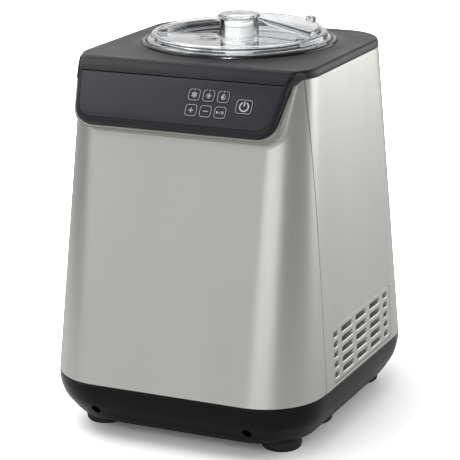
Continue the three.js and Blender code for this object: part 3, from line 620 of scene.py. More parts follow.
@dataclass(frozen=True)
class Finish:
    """One surface finish: base colour, gloss and the strength of the shared effects.

    Lengths of the grain come from its scale per metre, and bump is its depth in metres.
    """

    name: str
    colour: Triple
    roughness: float = 0.45
    metallic: float = 0.0
    specular: float = 0.5
    scale: float = 1500.0
    stretch: Triple = (1.0, 1.0, 1.0)
    bump: float = 0.00002
    tone: float = 0.06
    rough_spread: float = 0.08
    worn: Triple = (0.4, 0.4, 0.4)
    wear: float = 0.25
    marks: float = 0.25
    coat: float = 0.0
    coat_roughness: float = 0.1

    def material(self) -> bpy.types.Material:
        """Builds the finish as a node material.

        Returns:
            The material.
        """
        made, nodes = blank_material(self.name)
        grain = nodes.add("ShaderNodeGroup", node_tree=EFFECTS.grain)
        grain.inputs["Stretch"].default_value = self.stretch
        grain.inputs["Scale"].default_value = self.scale
        wear = nodes.add("ShaderNodeGroup", node_tree=EFFECTS.wear)
        wear.inputs["Amount"].default_value = self.wear
        marks = nodes.add("ShaderNodeGroup", node_tree=EFFECTS.marks)
        marks.inputs["Amount"].default_value = self.marks
        light = nodes.ramp(grain.outputs["Tone"], 0.3, 0.7, 1.0 - self.tone, 1.0 + self.tone)
        base = nodes.add("ShaderNodeVectorMath", {0: self.colour, 1: light}, operation="MULTIPLY").outputs[0]
        shade = nodes.add("ShaderNodeMix", {"Factor": wear.outputs["Mask"]}, data_type="RGBA")
        nodes.tree.links.new(base, shade.inputs["A"])
        shade.inputs["B"].default_value = (*self.worn, 1.0)
        smoothest = self.roughness - self.rough_spread
        roughest = self.roughness + self.rough_spread
        rough = nodes.ramp(grain.outputs["Height"], 0.4, 0.95, smoothest, roughest)
        rough = nodes.math("ADD", rough, nodes.math("MULTIPLY", marks.outputs["Mask"], 0.3))
        relief = nodes.add("ShaderNodeBump", {
            "Height": grain.outputs["Height"],
            "Distance": self.bump,
            "Strength": 1.0,
        })
        shader = nodes.add("ShaderNodeBsdfPrincipled", {
            "Base Color": shade.outputs["Result"],
            "Roughness": rough,
            "Normal": relief.outputs["Normal"],
            "Metallic": self.metallic,
            "Specular IOR Level": self.specular,
            "Coat Weight": self.coat,
            "Coat Roughness": self.coat_roughness,
        })
        nodes.add("ShaderNodeOutputMaterial", {"Surface": shader.outputs["BSDF"]})
        return made


@dataclass(frozen=True)
class ClearFinish:
    """Clear moulded plastic: a tinted transmissive shader with faint flow ripples and smudges.

    It lets shadow rays and diffuse rays straight through, so that what lies under it is lit.
    """

    name: str
    tint: Triple
    roughness: float = 0.03
    ior: float = 1.45
    ripple_scale: float = 180.0
    ripple_depth: float = 0.00005
    marks: float = 0.25

    def material(self) -> bpy.types.Material:
        """Builds the finish as a node material.

        Returns:
            The material.
        """
        made, nodes = blank_material(self.name)
        grain = nodes.add("ShaderNodeGroup", node_tree=EFFECTS.grain)
        grain.inputs["Scale"].default_value = self.ripple_scale
        marks = nodes.add("ShaderNodeGroup", node_tree=EFFECTS.marks)
        marks.inputs["Amount"].default_value = self.marks
        rough = nodes.ramp(marks.outputs["Mask"], 0.0, 1.0, self.roughness, self.roughness + 0.2)
        relief = nodes.add("ShaderNodeBump", {
            "Height": grain.outputs["Height"],
            "Distance": self.ripple_depth,
            "Strength": 0.6,
        })
        shader = nodes.add("ShaderNodeBsdfPrincipled", {
            "Base Color": (*self.tint, 1.0),
            "Roughness": rough,
            "Normal": relief.outputs["Normal"],
            "IOR": self.ior,
            "Transmission Weight": 1.0,
        })
        path = nodes.add("ShaderNodeLightPath")
        through = nodes.add("ShaderNodeBsdfTransparent", {"Color": (*self.tint, 1.0)})
        soft = nodes.math("MAXIMUM", path.outputs["Is Shadow Ray"], path.outputs["Is Diffuse Ray"])
        shaders = {0: soft, 1: shader.outputs["BSDF"], 2: through.outputs["BSDF"]}
        mixed = nodes.add("ShaderNodeMixShader", shaders)
        nodes.add("ShaderNodeOutputMaterial", {"Surface": mixed.outputs["Shader"]})
        return made


@dataclass(frozen=True)
class PrintFinish:
    """Pale screen print for the marks on the keys."""

    name: str
    colour: Triple
    grain_scale: float = 4000.0

    def material(self) -> bpy.types.Material:
        """Builds the finish as a node material.

        Returns:
            The material.
        """
        made, nodes = blank_material(self.name)
        grain = nodes.add("ShaderNodeGroup", node_tree=EFFECTS.grain)
        grain.inputs["Scale"].default_value = self.grain_scale
        light = nodes.ramp(grain.outputs["Height"], 0.4, 0.95, 0.85, 1.05)
        base = nodes.add("ShaderNodeVectorMath", {0: self.colour, 1: light}, operation="MULTIPLY").outputs[0]
        shader = nodes.add("ShaderNodeBsdfPrincipled", {"Base Color": base, "Roughness": 0.5})
        nodes.add("ShaderNodeOutputMaterial", {"Surface": shader.outputs["BSDF"]})
        return made


class Finishes:
    """Every finish of the machine, made once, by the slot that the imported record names."""

    SILVER = Finish("satin_silver", (0.52, 0.515, 0.49), roughness=0.32, metallic=0.86, scale=1400.0,
                    stretch=(1.0, 1.0, 0.03), bump=0.000012, tone=0.03, rough_spread=0.05,
                    worn=(0.72, 0.72, 0.7), wear=0.15, marks=0.12)
    CHARCOAL = Finish("satin_charcoal", (0.012, 0.0125, 0.0155), roughness=0.42, specular=0.3, scale=2600.0,
                      bump=0.00002, worn=(0.16, 0.16, 0.165), wear=0.2, marks=0.2)
    FILM = Finish("panel_film", (0.017, 0.018, 0.023), roughness=0.45, specular=0.4, scale=3600.0,
                  bump=0.00003, worn=(0.1, 0.1, 0.105), wear=0.1, marks=0.15)
    KEY = Finish("key_caps", (0.014, 0.0145, 0.018), roughness=0.45, specular=0.4, scale=3600.0,
                 bump=0.00002, worn=(0.1, 0.1, 0.105), wear=0.3)
    GLOSS = Finish("gloss_black", (0.004, 0.004, 0.0045), roughness=0.2, specular=0.35, scale=300.0,
                   bump=0.00001, tone=0.1, rough_spread=0.03, worn=(0.05, 0.05, 0.05), wear=0.1, marks=0.15)
    BASE = Finish("satin_black_base", (0.003, 0.003, 0.0033), roughness=0.26, specular=0.15, scale=2200.0,
                  bump=0.00002, worn=(0.07, 0.07, 0.07), wear=0.25, marks=0.3)
    WHITE = Finish("off_white_paddle", (0.86, 0.855, 0.81), roughness=0.35, scale=900.0, bump=0.00002,
                   tone=0.03, worn=(0.8, 0.79, 0.75), wear=0.1, marks=0.1)
    # Painted shade: this aluminium's base colour is darkened to about 0.37, far below bare metal, so that the
    # insides of the bowl and the cup look shaded; the pale worn colour is the metal's own.
    SHADED_ALUMINIUM = Finish("spun_aluminium_painted_shade", (0.36, 0.37, 0.38), roughness=0.24, metallic=1.0, scale=900.0,
                       stretch=(0.15, 0.15, 3.0), bump=0.00002, tone=0.05, worn=(0.85, 0.85, 0.86), wear=0.2)
    STEEL = Finish("turned_steel", (0.42, 0.42, 0.43), roughness=0.32, metallic=1.0, scale=1200.0,
                   stretch=(1.0, 1.0, 0.2), bump=0.00002, worn=(0.65, 0.65, 0.66), wear=0.3)
    COPPER = Finish("drawn_copper", (0.60, 0.29, 0.15), roughness=0.3, metallic=1.0, scale=700.0,
                    bump=0.00002, tone=0.14, worn=(0.75, 0.42, 0.26), wear=0.2)
    RUBBER = Finish("moulded_rubber", (0.012, 0.012, 0.013), roughness=0.72, scale=1800.0, bump=0.00004,
                    worn=(0.05, 0.05, 0.05), wear=0.3, marks=0.5)
    FOAM = Finish("poured_foam", (0.66, 0.58, 0.34), roughness=0.92, scale=420.0, bump=0.0003, tone=0.12,
                  worn=(0.75, 0.68, 0.45), wear=0.4)
    GEAR = Finish("natural_gear", (0.70, 0.66, 0.52), roughness=0.42, scale=1500.0,
                  worn=(0.8, 0.77, 0.66), wear=0.3)
    DARK = Finish("dark_moulding", (0.025, 0.025, 0.027), roughness=0.5, scale=2000.0, bump=0.00003,
                  worn=(0.09, 0.09, 0.09), wear=0.3)
    ENAMEL = Finish("black_enamel", (0.01, 0.01, 0.011), roughness=0.25, scale=500.0, bump=0.00004, tone=0.1,
                    worn=(0.08, 0.08, 0.08), wear=0.3, coat=0.4)
    BOARD = Finish("board_green", (0.012, 0.09, 0.04), roughness=0.35, scale=800.0, bump=0.00004, tone=0.2,
                   worn=(0.4, 0.33, 0.12), wear=0.4)
    CLEAR = ClearFinish("clear_lid", (0.97, 0.98, 0.995))
    PRINT = PrintFinish("pale_print", (0.62, 0.63, 0.65))

    SLOTS = {
        "silver_case": SILVER,
        "charcoal_plastic": CHARCOAL,
        "control_film": FILM,
        "key_plastic": KEY,
        "gloss_black": GLOSS,
        "base_plastic": BASE,
        "clear_plastic": CLEAR,
        "white_plastic": WHITE,
        "bowl_aluminium": SHADED_ALUMINIUM,
        "steel": STEEL,
        "copper": COPPER,
        "rubber": RUBBER,
        "foam": FOAM,
        "gear_plastic": GEAR,
        "dark_internal": DARK,
        "compressor_paint": ENAMEL,
        "circuit_board": BOARD,
    }

    def __init__(self) -> None:
        """Makes one material for each slot and one for the print."""
        self.by_slot = {slot: finish.material() for slot, finish in self.SLOTS.items()}
        self.print = self.PRINT.material()

    def dress(self, piece: Piece, slot: str, body: str, *replaced: str) -> Piece:
        """Gives a piece its finish, its slot and its body.

        Args:
            piece: the finished piece.
            slot: the record's material slot.
            body: the body that it rides on.
            replaced: the CAD nodes that it stands for.

        Returns:
            The piece.
        """
        piece.data.materials.clear()
        piece.data.materials.append(self.by_slot[slot])
        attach(piece, body)
        if replaced:
            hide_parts(*replaced)
        LOG.info("%s: %d points, slot %s, on %s", piece.name, len(piece.data.vertices), slot, body)
        return piece

    def paint(self, node: Piece, slot: str) -> None:
        """Gives a carried-over CAD node its finish.

        Args:
            node: the node's object.
            slot: the record's material slot.
        """
        for place in node.material_slots:
            place.material = self.by_slot[slot]
        if not node.material_slots:
            node.data.materials.append(self.by_slot[slot])


# ---------------------------------------------------------------- the casing's form


@dataclass(frozen=True)
class CaseForm:
    """The casing: a ruled taper between the seam above the base and the brow under the top cover.

    Each pair is the value at the seam and at the brow.
    """

    z: Pair = (48.6, 315.0)
    half: Pair = (122.0, 107.7)
    front: Pair = (-135.4, -90.3)
    back: Pair = (135.4, 108.4)
    front_corner: Pair = (51.6, 31.0)
    back_corner: Pair = (51.6, 42.5)
    panel_seam: float = -77.0
    side_start: float = -50.0

    def at(self, z: Array, name: str) -> Array:
        """Works out one of the sizes at some heights, along the straight line between its two values.

        Args:
            z: the heights.
            name: the size's field.

        Returns:
            The size at each height.
        """
        low, high = getattr(self, name)
        share = (z - self.z[0]) / (self.z[1] - self.z[0])
        return low + (high - low) * share

    def front_point(self, across: Array, z: Array) -> Array:
        """Places points by how far they lie round the outline from the middle of the front.

        The front is straight as far as its corner, then follows the corner's arc, then runs back along the side.

        Args:
            across: distance along the outline, positive to the right.
            z: height.

        Returns:
            The points.
        """
        corner = self.at(z, "front_corner")
        flat = self.at(z, "half") - corner
        beyond = np.abs(across) - flat
        turn = np.clip(beyond / corner, 0.0, math.pi / 2.0)
        side = np.maximum(beyond - corner * math.pi / 2.0, 0.0)
        x = np.sign(across) * (np.minimum(np.abs(across), flat) + corner * np.sin(turn))
        y = self.at(z, "front") + corner * (1.0 - np.cos(turn)) + side
        return np.stack([x, y, z + 0.0 * x], axis=-1)

    def seam_across(self, z: Array) -> Array:
        """Works out how far round the outline the seam between panel and wrap lies.

        Args:
            z: the heights.

        Returns:
            The distance from the middle of the front at each height.
        """
        corner = self.at(z, "front_corner")
        deep = self.panel_seam - self.at(z, "front")
        turn = np.arccos(np.clip(1.0 - deep / corner, 0.0, 1.0))
        return self.at(z, "half") - corner + corner * turn + np.maximum(deep - corner, 0.0)

    def ring(self, z: float, inward: float = 0.0, steps: int = 16, edge: int = 14) -> Array:
        """Draws the closed outline of the casing at one height.

        Args:
            z: the height.
            inward: how far it is moved inwards.
            steps: chords in each corner.
            edge: divisions of each straight side.

        Returns:
            The outline's (x, y) points.
        """
        level = np.array(z)
        half = float(self.at(level, "half")) - inward
        front = float(self.at(level, "front")) + inward
        back = float(self.at(level, "back")) - inward
        near = float(self.at(level, "front_corner")) - inward
        far = float(self.at(level, "back_corner")) - inward
        corners = [(-half, front, near), (half, front, near), (half, back, far), (-half, back, far)]
        return outline(corners, steps, edge)

    def wrap_half(self, u: Array, z: Array) -> Array:
        """Places points of the right half of the wrap.

        The parameter runs 0..1 from the seam past the rest of the front corner, 1..2 straight along the side,
        2..3 round the back corner and 3..4 to the middle of the back.

        Args:
            u: the parameter, as a row.
            z: the heights, as a column.

        Returns:
            (heights, parameters, 3) points.
        """
        half = self.at(z, "half")
        front = self.at(z, "front")
        back = self.at(z, "back")
        near = self.at(z, "front_corner")
        far = self.at(z, "back_corner")
        start = self.panel_seam + GAP / 2.0
        y = start + (self.side_start - start) * np.clip(u, 0.0, 1.0)
        y = y + (back - far - self.side_start) * np.clip(u - 1.0, 0.0, 1.0)
        turn = np.arccos(np.clip(1.0 - (y - front) / near, 0.0, 1.0))
        x = half - near + near * np.sin(turn)
        round_back = math.pi / 2.0 * np.clip(u - 2.0, 0.0, 1.0)
        x = np.where(u > 2.0, half - far + far * np.cos(round_back), x)
        y = np.where(u > 2.0, back - far + far * np.sin(round_back), y)
        x = np.where(u > 3.0, (half - far) * (1.0 - np.clip(u - 3.0, 0.0, 1.0)), x)
        return np.stack([x, y, z + 0.0 * x], axis=-1)


@dataclass(frozen=True)
class SideFrame:
    """A flat frame on the right side: x along +Y, y up the side from the seam, z out of it."""

    form: CaseForm

    @property
    def lean(self) -> float:
        """How far the side leans in, in radians."""
        return math.atan((self.form.half[0] - self.form.half[1]) / (self.form.z[1] - self.form.z[0]))

    def place(self, points: Array, side: float = 1.0) -> Array:
        """Places points of the frame on one side of the casing.

        Args:
            points: (along, up, out) points.
            side: 1 for the right side, -1 for the left.

        Returns:
            The placed points.
        """
        along, up, out = np.moveaxis(points, -1, 0)
        x = self.form.half[0] - up * math.sin(self.lean) + out * math.cos(self.lean)
        z = self.form.z[0] + up * math.cos(self.lean) + out * math.sin(self.lean)
        return np.stack([side * x, along, z], axis=-1)


@dataclass(frozen=True)
class PanelSheet:
    """The sloping control panel as a sheet: x across, s down the slope, out along its normal.

    Above the band the sheet bends back over a curve and ends level with the top of the cover.
    """

    lean: float = math.radians(31.25)
    y: float = -90.0
    z: float = 322.0
    top_z: float = 322.2
    band: float = 11.3
    brow_y: float = -84.0
    brow_s: float = -4.9
    half_top: float = 98.4
    half_taper: float = 0.165

    def place(self, x: Array, s: Array, out: Array | float) -> Array:
        """Places points of the sheet.

        Below the band a point lies on the slope's own plane. Above it the point follows the quadratic curve
        with the corners (brow_y, top_z), (y, top_z) and the top of the plane, and its normal.

        Args:
            x: the points' places across.
            s: how far down the slope they lie.
            out: how far out of the sheet they stand.

        Returns:
            The placed points.
        """
        sine = math.sin(self.lean)
        cosine = math.cos(self.lean)
        t = np.clip((s - self.brow_s) / (self.band - self.brow_s), 0.0, 1.0)
        knee = np.array([self.y, self.top_z])
        start = np.array([self.brow_y, self.top_z])
        end = np.array([self.y - self.band * sine, self.z - self.band * cosine])
        t = t[..., None]
        curve = start * (1 - t) ** 2 + knee * 2 * t * (1 - t) + end * t**2
        along = unit((knee - start) * 2 * (1 - t) + (end - knee) * 2 * t)
        below = np.maximum(s - self.band, 0.0)[..., None]
        before = np.maximum(self.brow_s - s, 0.0)[..., None]
        flat = curve + below * np.array([-sine, -cosine]) + before * np.array([1.0, 0.0])
        normal = np.stack([along[..., 1], -along[..., 0]], axis=-1)
        at = flat + normal * np.asarray(out)[..., None]
        return np.stack([x + 0.0 * at[..., 0], at[..., 0], at[..., 1]], axis=-1)

    def side(self, s: Array | float) -> Array | float:
        """Returns the bib's half-width at s down the slope."""
        return self.half_top - self.half_taper * s


FORM = CaseForm()
SIDE = SideFrame(FORM)
SHEET = PanelSheet()


def outward(piece: Piece, pivot: Triple) -> Piece:
    """Turns an open sheet's faces away from a pivot.

    Args:
        piece: the sheet.
        pivot: the point inside it, in millimetres.

    Returns:
        The piece.
    """
    count = len(piece.data.polygons)
    normal = np.zeros(count * 3)
    centre = np.zeros(count * 3)
    piece.data.polygons.foreach_get("normal", normal)
    piece.data.polygons.foreach_get("center", centre)
    facing = np.sum(normal.reshape(-1, 3) * (centre.reshape(-1, 3) - np.array(pivot) * MM))
    if facing < 0.0:
        piece.data.flip_normals()
    return piece


def rims_rounded(piece: Piece, width: float, segments: int) -> Piece:
    """Rounds the piece's sharp edges by a bevel of that width in millimetres, and returns the piece."""
    return modify(piece, "BEVEL", width=width * MM, segments=segments, limit_method="ANGLE",
                  angle_limit=math.radians(50.0), use_clamp_overlap=True)


# ---------------------------------------------------------------- casing


@dataclass
class Casing:
    """The silver front panel, the wrap round the sides and back, and the two vent inserts."""

    finishes: Finishes
    crease_top: float = 100.2
    crease_low: Pair = (91.0, 263.0)
    crease_corner: float = 20.0
    seat: float = 6.8
    bib_bottom: float = 55.4
    bib_corner: float = 17.0
    crease_fillet: float = 4.0
    lip_top: float = 8.0
    seam_width: float = 0.7
    seam_sink: float = 0.996
    window: Quad = (-60.0, 76.0, 3.0, 52.0)
    window_corner: float = 4.0
    gland: Triple = (-70.0, 90.0, 6.8)
    gland_wall: float = 130.0
    rim: float = 1.1
    steps: int = 16
    edge: int = 56

    def bib_path(self, grow: float, out: float) -> Array:
        """Draws the open path round the bib's sides and bottom.

        Args:
            grow: how far it stands off the bib.
            out: its height over the panel's sheet.

        Returns:
            The path's points.
        """
        top = self.lip_top
        low = self.bib_bottom + grow
        corners = [
            (-SHEET.side(top) - grow, top, 0.0),
            (-SHEET.side(low) - grow, low, self.bib_corner + grow),
            (SHEET.side(low) + grow, low, self.bib_corner + grow),
            (SHEET.side(top) + grow, top, 0.0),
        ]
        x, s = outline(corners, self.steps, self.edge, closed=False).T
        return SHEET.place(x, s, out)

    def crease_path(self, grow: float) -> Array:
        """Draws the crease as an open path on the casing.

        Args:
            grow: how far outside the crease the path runs.

        Returns:
            The path's (across, z) points.
        """
        low_x, low_z = self.crease_low
        corners = [
            (-self.crease_top - grow, FORM.z[1], 0.0),
            (-low_x - grow, low_z - grow, self.crease_corner + grow),
            (low_x + grow, low_z - grow, self.crease_corner + grow),
            (self.crease_top + grow, FORM.z[1], 0.0),
        ]
        return outline(corners, self.steps, self.edge, closed=False)

    def edge_path(self, inset: float) -> Array:
        """Draws the panel's edge as an open path: down one seam, along the base, up the other.

        Args:
            inset: how far inside the edge the path runs.

        Returns:
            The path's (across, z) points.
        """
        low = FORM.z[0] + GAP / 2.0 + inset
        corners = [(-1.0, FORM.z[1], 0.0), (-1.0, low, 0.0), (1.0, low, 0.0), (1.0, FORM.z[1], 0.0)]
        share, z = outline(corners, self.steps, self.edge, closed=False).T
        return np.stack([share * (FORM.seam_across(z) - inset), z], axis=-1)

    def front_panel(self) -> Piece:
        """Builds the front panel.

        Its rows are open paths of one length: the lip round the bib, straight lines from the lip to the crease,
        a quadratic fillet in the crease, and then even steps on the casing's form out to the panel's edge,
        whose last narrow strip sinks into the seam.

        Returns:
            The panel.
        """
        section = [(-3.0, 0.0), (0.3, 0.0), (0.4, 0.7), (0.9, 1.1), (1.7, 1.1)]
        lip = [self.bib_path(grow, height - self.seat) for grow, height in section]
        crease = FORM.front_point(*self.crease_path(0.0).T)
        beyond = self.crease_path(self.crease_fillet)
        after = FORM.front_point(*beyond.T)
        wall = blend(lip[-1], crease, np.linspace(0.0, 0.72, 7)[1:])
        t = np.linspace(0.0, 1.0, 8)[1:, None, None]
        fillet = wall[-1] * (1 - t) ** 2 + crease * 2 * t * (1 - t) + after * t**2
        shares = np.linspace(0.0, 1.0, 64)[1:]
        face_plan = blend(beyond, self.edge_path(self.seam_width), shares)
        face = FORM.front_point(face_plan[..., 0], face_plan[..., 1])
        rim = FORM.front_point(*self.edge_path(0.0).T)
        rim[:, :2] *= self.seam_sink
        shell = Shell()
        shell.grid(np.concatenate([np.stack(lip), wall, fillet, face, rim[None]]))
        piece = outward(shell.make("front_panel_skin", closed=False), (0.0, 0.0, 160.0))
        modify(piece, "SOLIDIFY", thickness=WALL * MM, offset=-1.0)
        return rims_rounded(piece, self.rim, 3)

    def wrap(self) -> Piece:
        """Builds the wrap: the casing's form from seam to seam round the back, with its wall.

        The vent inserts' windows and the gland's hole are cut out of it.

        Returns:
            The wrap.
        """
        bend = np.linspace(0.0, 1.0, 20)
        side = np.linspace(0.0, 1.0, 30)
        half_back = np.linspace(0.0, 1.0, 16)
        u = np.concatenate([bend, 1.0 + side[1:], 2.0 + bend[1:], 3.0 + half_back[1:]])
        z = np.linspace(FORM.z[0] + GAP / 2.0, FORM.z[1], 48)[:, None]
        right = FORM.wrap_half(u[None], z)
        left = right[:, -2::-1] * np.array([-1.0, 1.0, 1.0])
        shell = Shell()
        shell.grid(np.concatenate([right, left], axis=1))
        piece = outward(shell.make("casing_wrap", closed=False), (0.0, 0.0, 160.0))
        modify(piece, "SOLIDIFY", thickness=WALL * MM, offset=-1.0)
        applied(piece)
        from_y, to_y, low, high = self.window
        middle = ((from_y + to_y) / 2.0, (low + high) / 2.0)
        corners = slab_corners((to_y - from_y) / 2.0, (high - low) / 2.0, self.window_corner, *middle)
        path = outline(corners, 6, 2)
        tools = [self.cutter(lambda height: SIDE.place(raised(path, height), sign)) for sign in (-1.0, 1.0)]
        gland_x, gland_z, gland_radius = self.gland
        hole = turned([(gland_radius, 0.0)], 24)[0, :, :2]
        tools.append(self.cutter(lambda height: np.stack(
            [gland_x + hole[:, 0], np.full(24, self.gland_wall + height), gland_z + hole[:, 1]], axis=-1)))
        cut_away(piece, tools)
        return rims_rounded(piece, self.rim, 3)

    @staticmethod
    def cutter(place: Callable[[float], Array]) -> Piece:
        """Makes a closed prism that reaches 9 mm to both sides of a wall.

        Args:
            place: gives the prism's outline at a height over the wall.

        Returns:
            The prism.
        """
        shell = Shell()
        shell.tube(np.stack([place(-9.0), place(9.0)]))
        return shell.make("cutter")

    def build(self) -> None:
        """Builds and dresses the casing."""
        self.finishes.dress(self.front_panel(), "silver_case", "housing", "front_panel")
        self.finishes.dress(self.wrap(), "silver_case", "housing", "housing_wrap")
        for side, name in ((1.0, "right"), (-1.0, "left")):
            grille = VentGrille(side).build(f"vent_insert_{name}")
            self.finishes.dress(grille, "silver_case", "housing", f"vent_grille_{name}")


@dataclass
class VentGrille:
    """A vent insert: a plate with rows of round-ended slots whose lips are rounded."""

    side: float
    columns: Pairs = (
        (-56.5, -47.0), (-38.6, -14.0), (-6.0, 18.0), (27.0, 50.0), (59.5, 69.0))
    rows: int = 5
    pitch: float = 8.85
    first_row: float = 9.4
    slot: float = 4.2
    thickness: float = 2.4
    plate: Quad = (-59.7, 75.7, 3.3, 51.7)
    plate_corner: float = 3.7
    margins: Pair = (1.6, 3.0)
    rounding: Pairs = (
        (0.9, 0.0), (0.3, -0.08), (0.08, -0.3), (0.0, -0.8), (0.0, -2.4))
    lips: Triples = (
        (1.3, 0.0, 0.0), (0.75, -0.05, 0.0), (0.35, -0.25, 0.0), (0.1, -0.6, 0.0), (0.0, -1.1, 0.0),
        (-0.1, -2.4, 0.1), (-0.55, -4.4, 0.55), (0.2, -4.4, 0.55), (0.8, -2.6, 0.1))
    steps: int = 6
    edge: int = 6

    def cell_lines(self) -> tuple[Array, Array]:
        """Places the lines between the slots' cells.

        Returns:
            The lines' places along the side and up it.
        """
        ends = np.array(self.columns)
        between = (ends[1:, 0] + ends[:-1, 1]) / 2.0
        along = np.concatenate([[ends[0, 0] - self.margins[0]], between, [ends[-1, 1] + self.margins[1]]])
        up = self.first_row + self.pitch * (np.arange(self.rows + 1) - 0.5)
        return along, up

    def rounded_plate(self, frame_points: Array, inward: float) -> Array:
        """Moves points of the cells' outer rectangle onto the plate's rounded outline.

        A point is scaled to the plate, held inside the rectangle of the corner centres, and pushed out from
        there by the corner radius.

        Args:
            frame_points: (along, up) points of the rectangle.
            inward: how far inside the outline they go.

        Returns:
            The moved points.
        """
        low = frame_points.min(axis=0)
        high = frame_points.max(axis=0)
        y0, y1, v0, v1 = self.plate
        half = np.array([(y1 - y0) / 2.0 - inward, (v1 - v0) / 2.0 - inward])
        radius = self.plate_corner - inward
        place = (2.0 * (frame_points - low) / (high - low) - 1.0) * half
        hub = np.clip(place, radius - half, half - radius)
        return np.array([(y0 + y1) / 2.0, (v0 + v1) / 2.0]) + hub + unit(place - hub) * radius

    def build(self, name: str) -> Piece:
        """Builds the insert from one ring patch for each slot and one for the border.

        Args:
            name: the object's name.

        Returns:
            The object.
        """
        shell = Shell()
        along, up = self.cell_lines()
        for column, (start, end) in enumerate(self.columns):
            for row in range(self.rows):
                middle = self.first_row + row * self.pitch
                half = ((end - start) / 2.0, self.slot / 2.0)
                cell = outline([
                    (along[column], up[row], 0.0),
                    (along[column + 1], up[row], 0.0),
                    (along[column + 1], up[row + 1], 0.0),
                    (along[column], up[row + 1], 0.0),
                ], self.steps, self.edge)
                rings = [raised(cell, 0.0)]
                for grow, height, rise in self.lips:
                    radius = self.slot / 2.0 + grow - 0.01
                    centre = ((start + end) / 2.0, middle + rise)
                    hole = slab_corners(half[0] + grow, half[1] + grow, radius, *centre)
                    rings.append(raised(outline(hole, self.steps, self.edge), height))
                rings.append(raised(cell, -self.thickness))
                shell.grid(SIDE.place(np.stack(rings), self.side), around=True)
        border = self.border(along, up)
        rings = [raised(border, 0.0)]
        rings += [raised(self.rounded_plate(border, inward), height) for inward, height in self.rounding]
        rings.append(raised(border, -self.thickness))
        shell.grid(SIDE.place(np.stack(rings), self.side), around=True)
        return shell.make(name)

    def border(self, along: Array, up: Array) -> Array:
        """Draws the outer rectangle of the cells, divided as the cells divide it.

        Args:
            along: the lines between the cells, along the side.
            up: the lines between the cells, up the side.

        Returns:
            The rectangle's (along, up) points, as a closed path.
        """
        share = np.linspace(0.0, 1.0, self.edge + 1)[:-1]
        along_points = (along[:-1, None] + np.diff(along)[:, None] * share).ravel()
        up_points = (up[:-1, None] + np.diff(up)[:, None] * share).ravel()
        along_back = (along[:0:-1, None] - np.diff(along)[::-1, None] * share).ravel()
        up_back = (up[:0:-1, None] - np.diff(up)[::-1, None] * share).ravel()
        return np.concatenate([
            np.stack([along_points, np.full_like(along_points, up[0])], axis=-1),
            np.stack([np.full_like(up_points, along[-1]), up_points], axis=-1),
            np.stack([along_back, np.full_like(along_back, up[-1])], axis=-1),
            np.stack([np.full_like(up_back, along[0]), up_back], axis=-1),
        ])


# ---------------------------------------------------------------- top cover and control panel


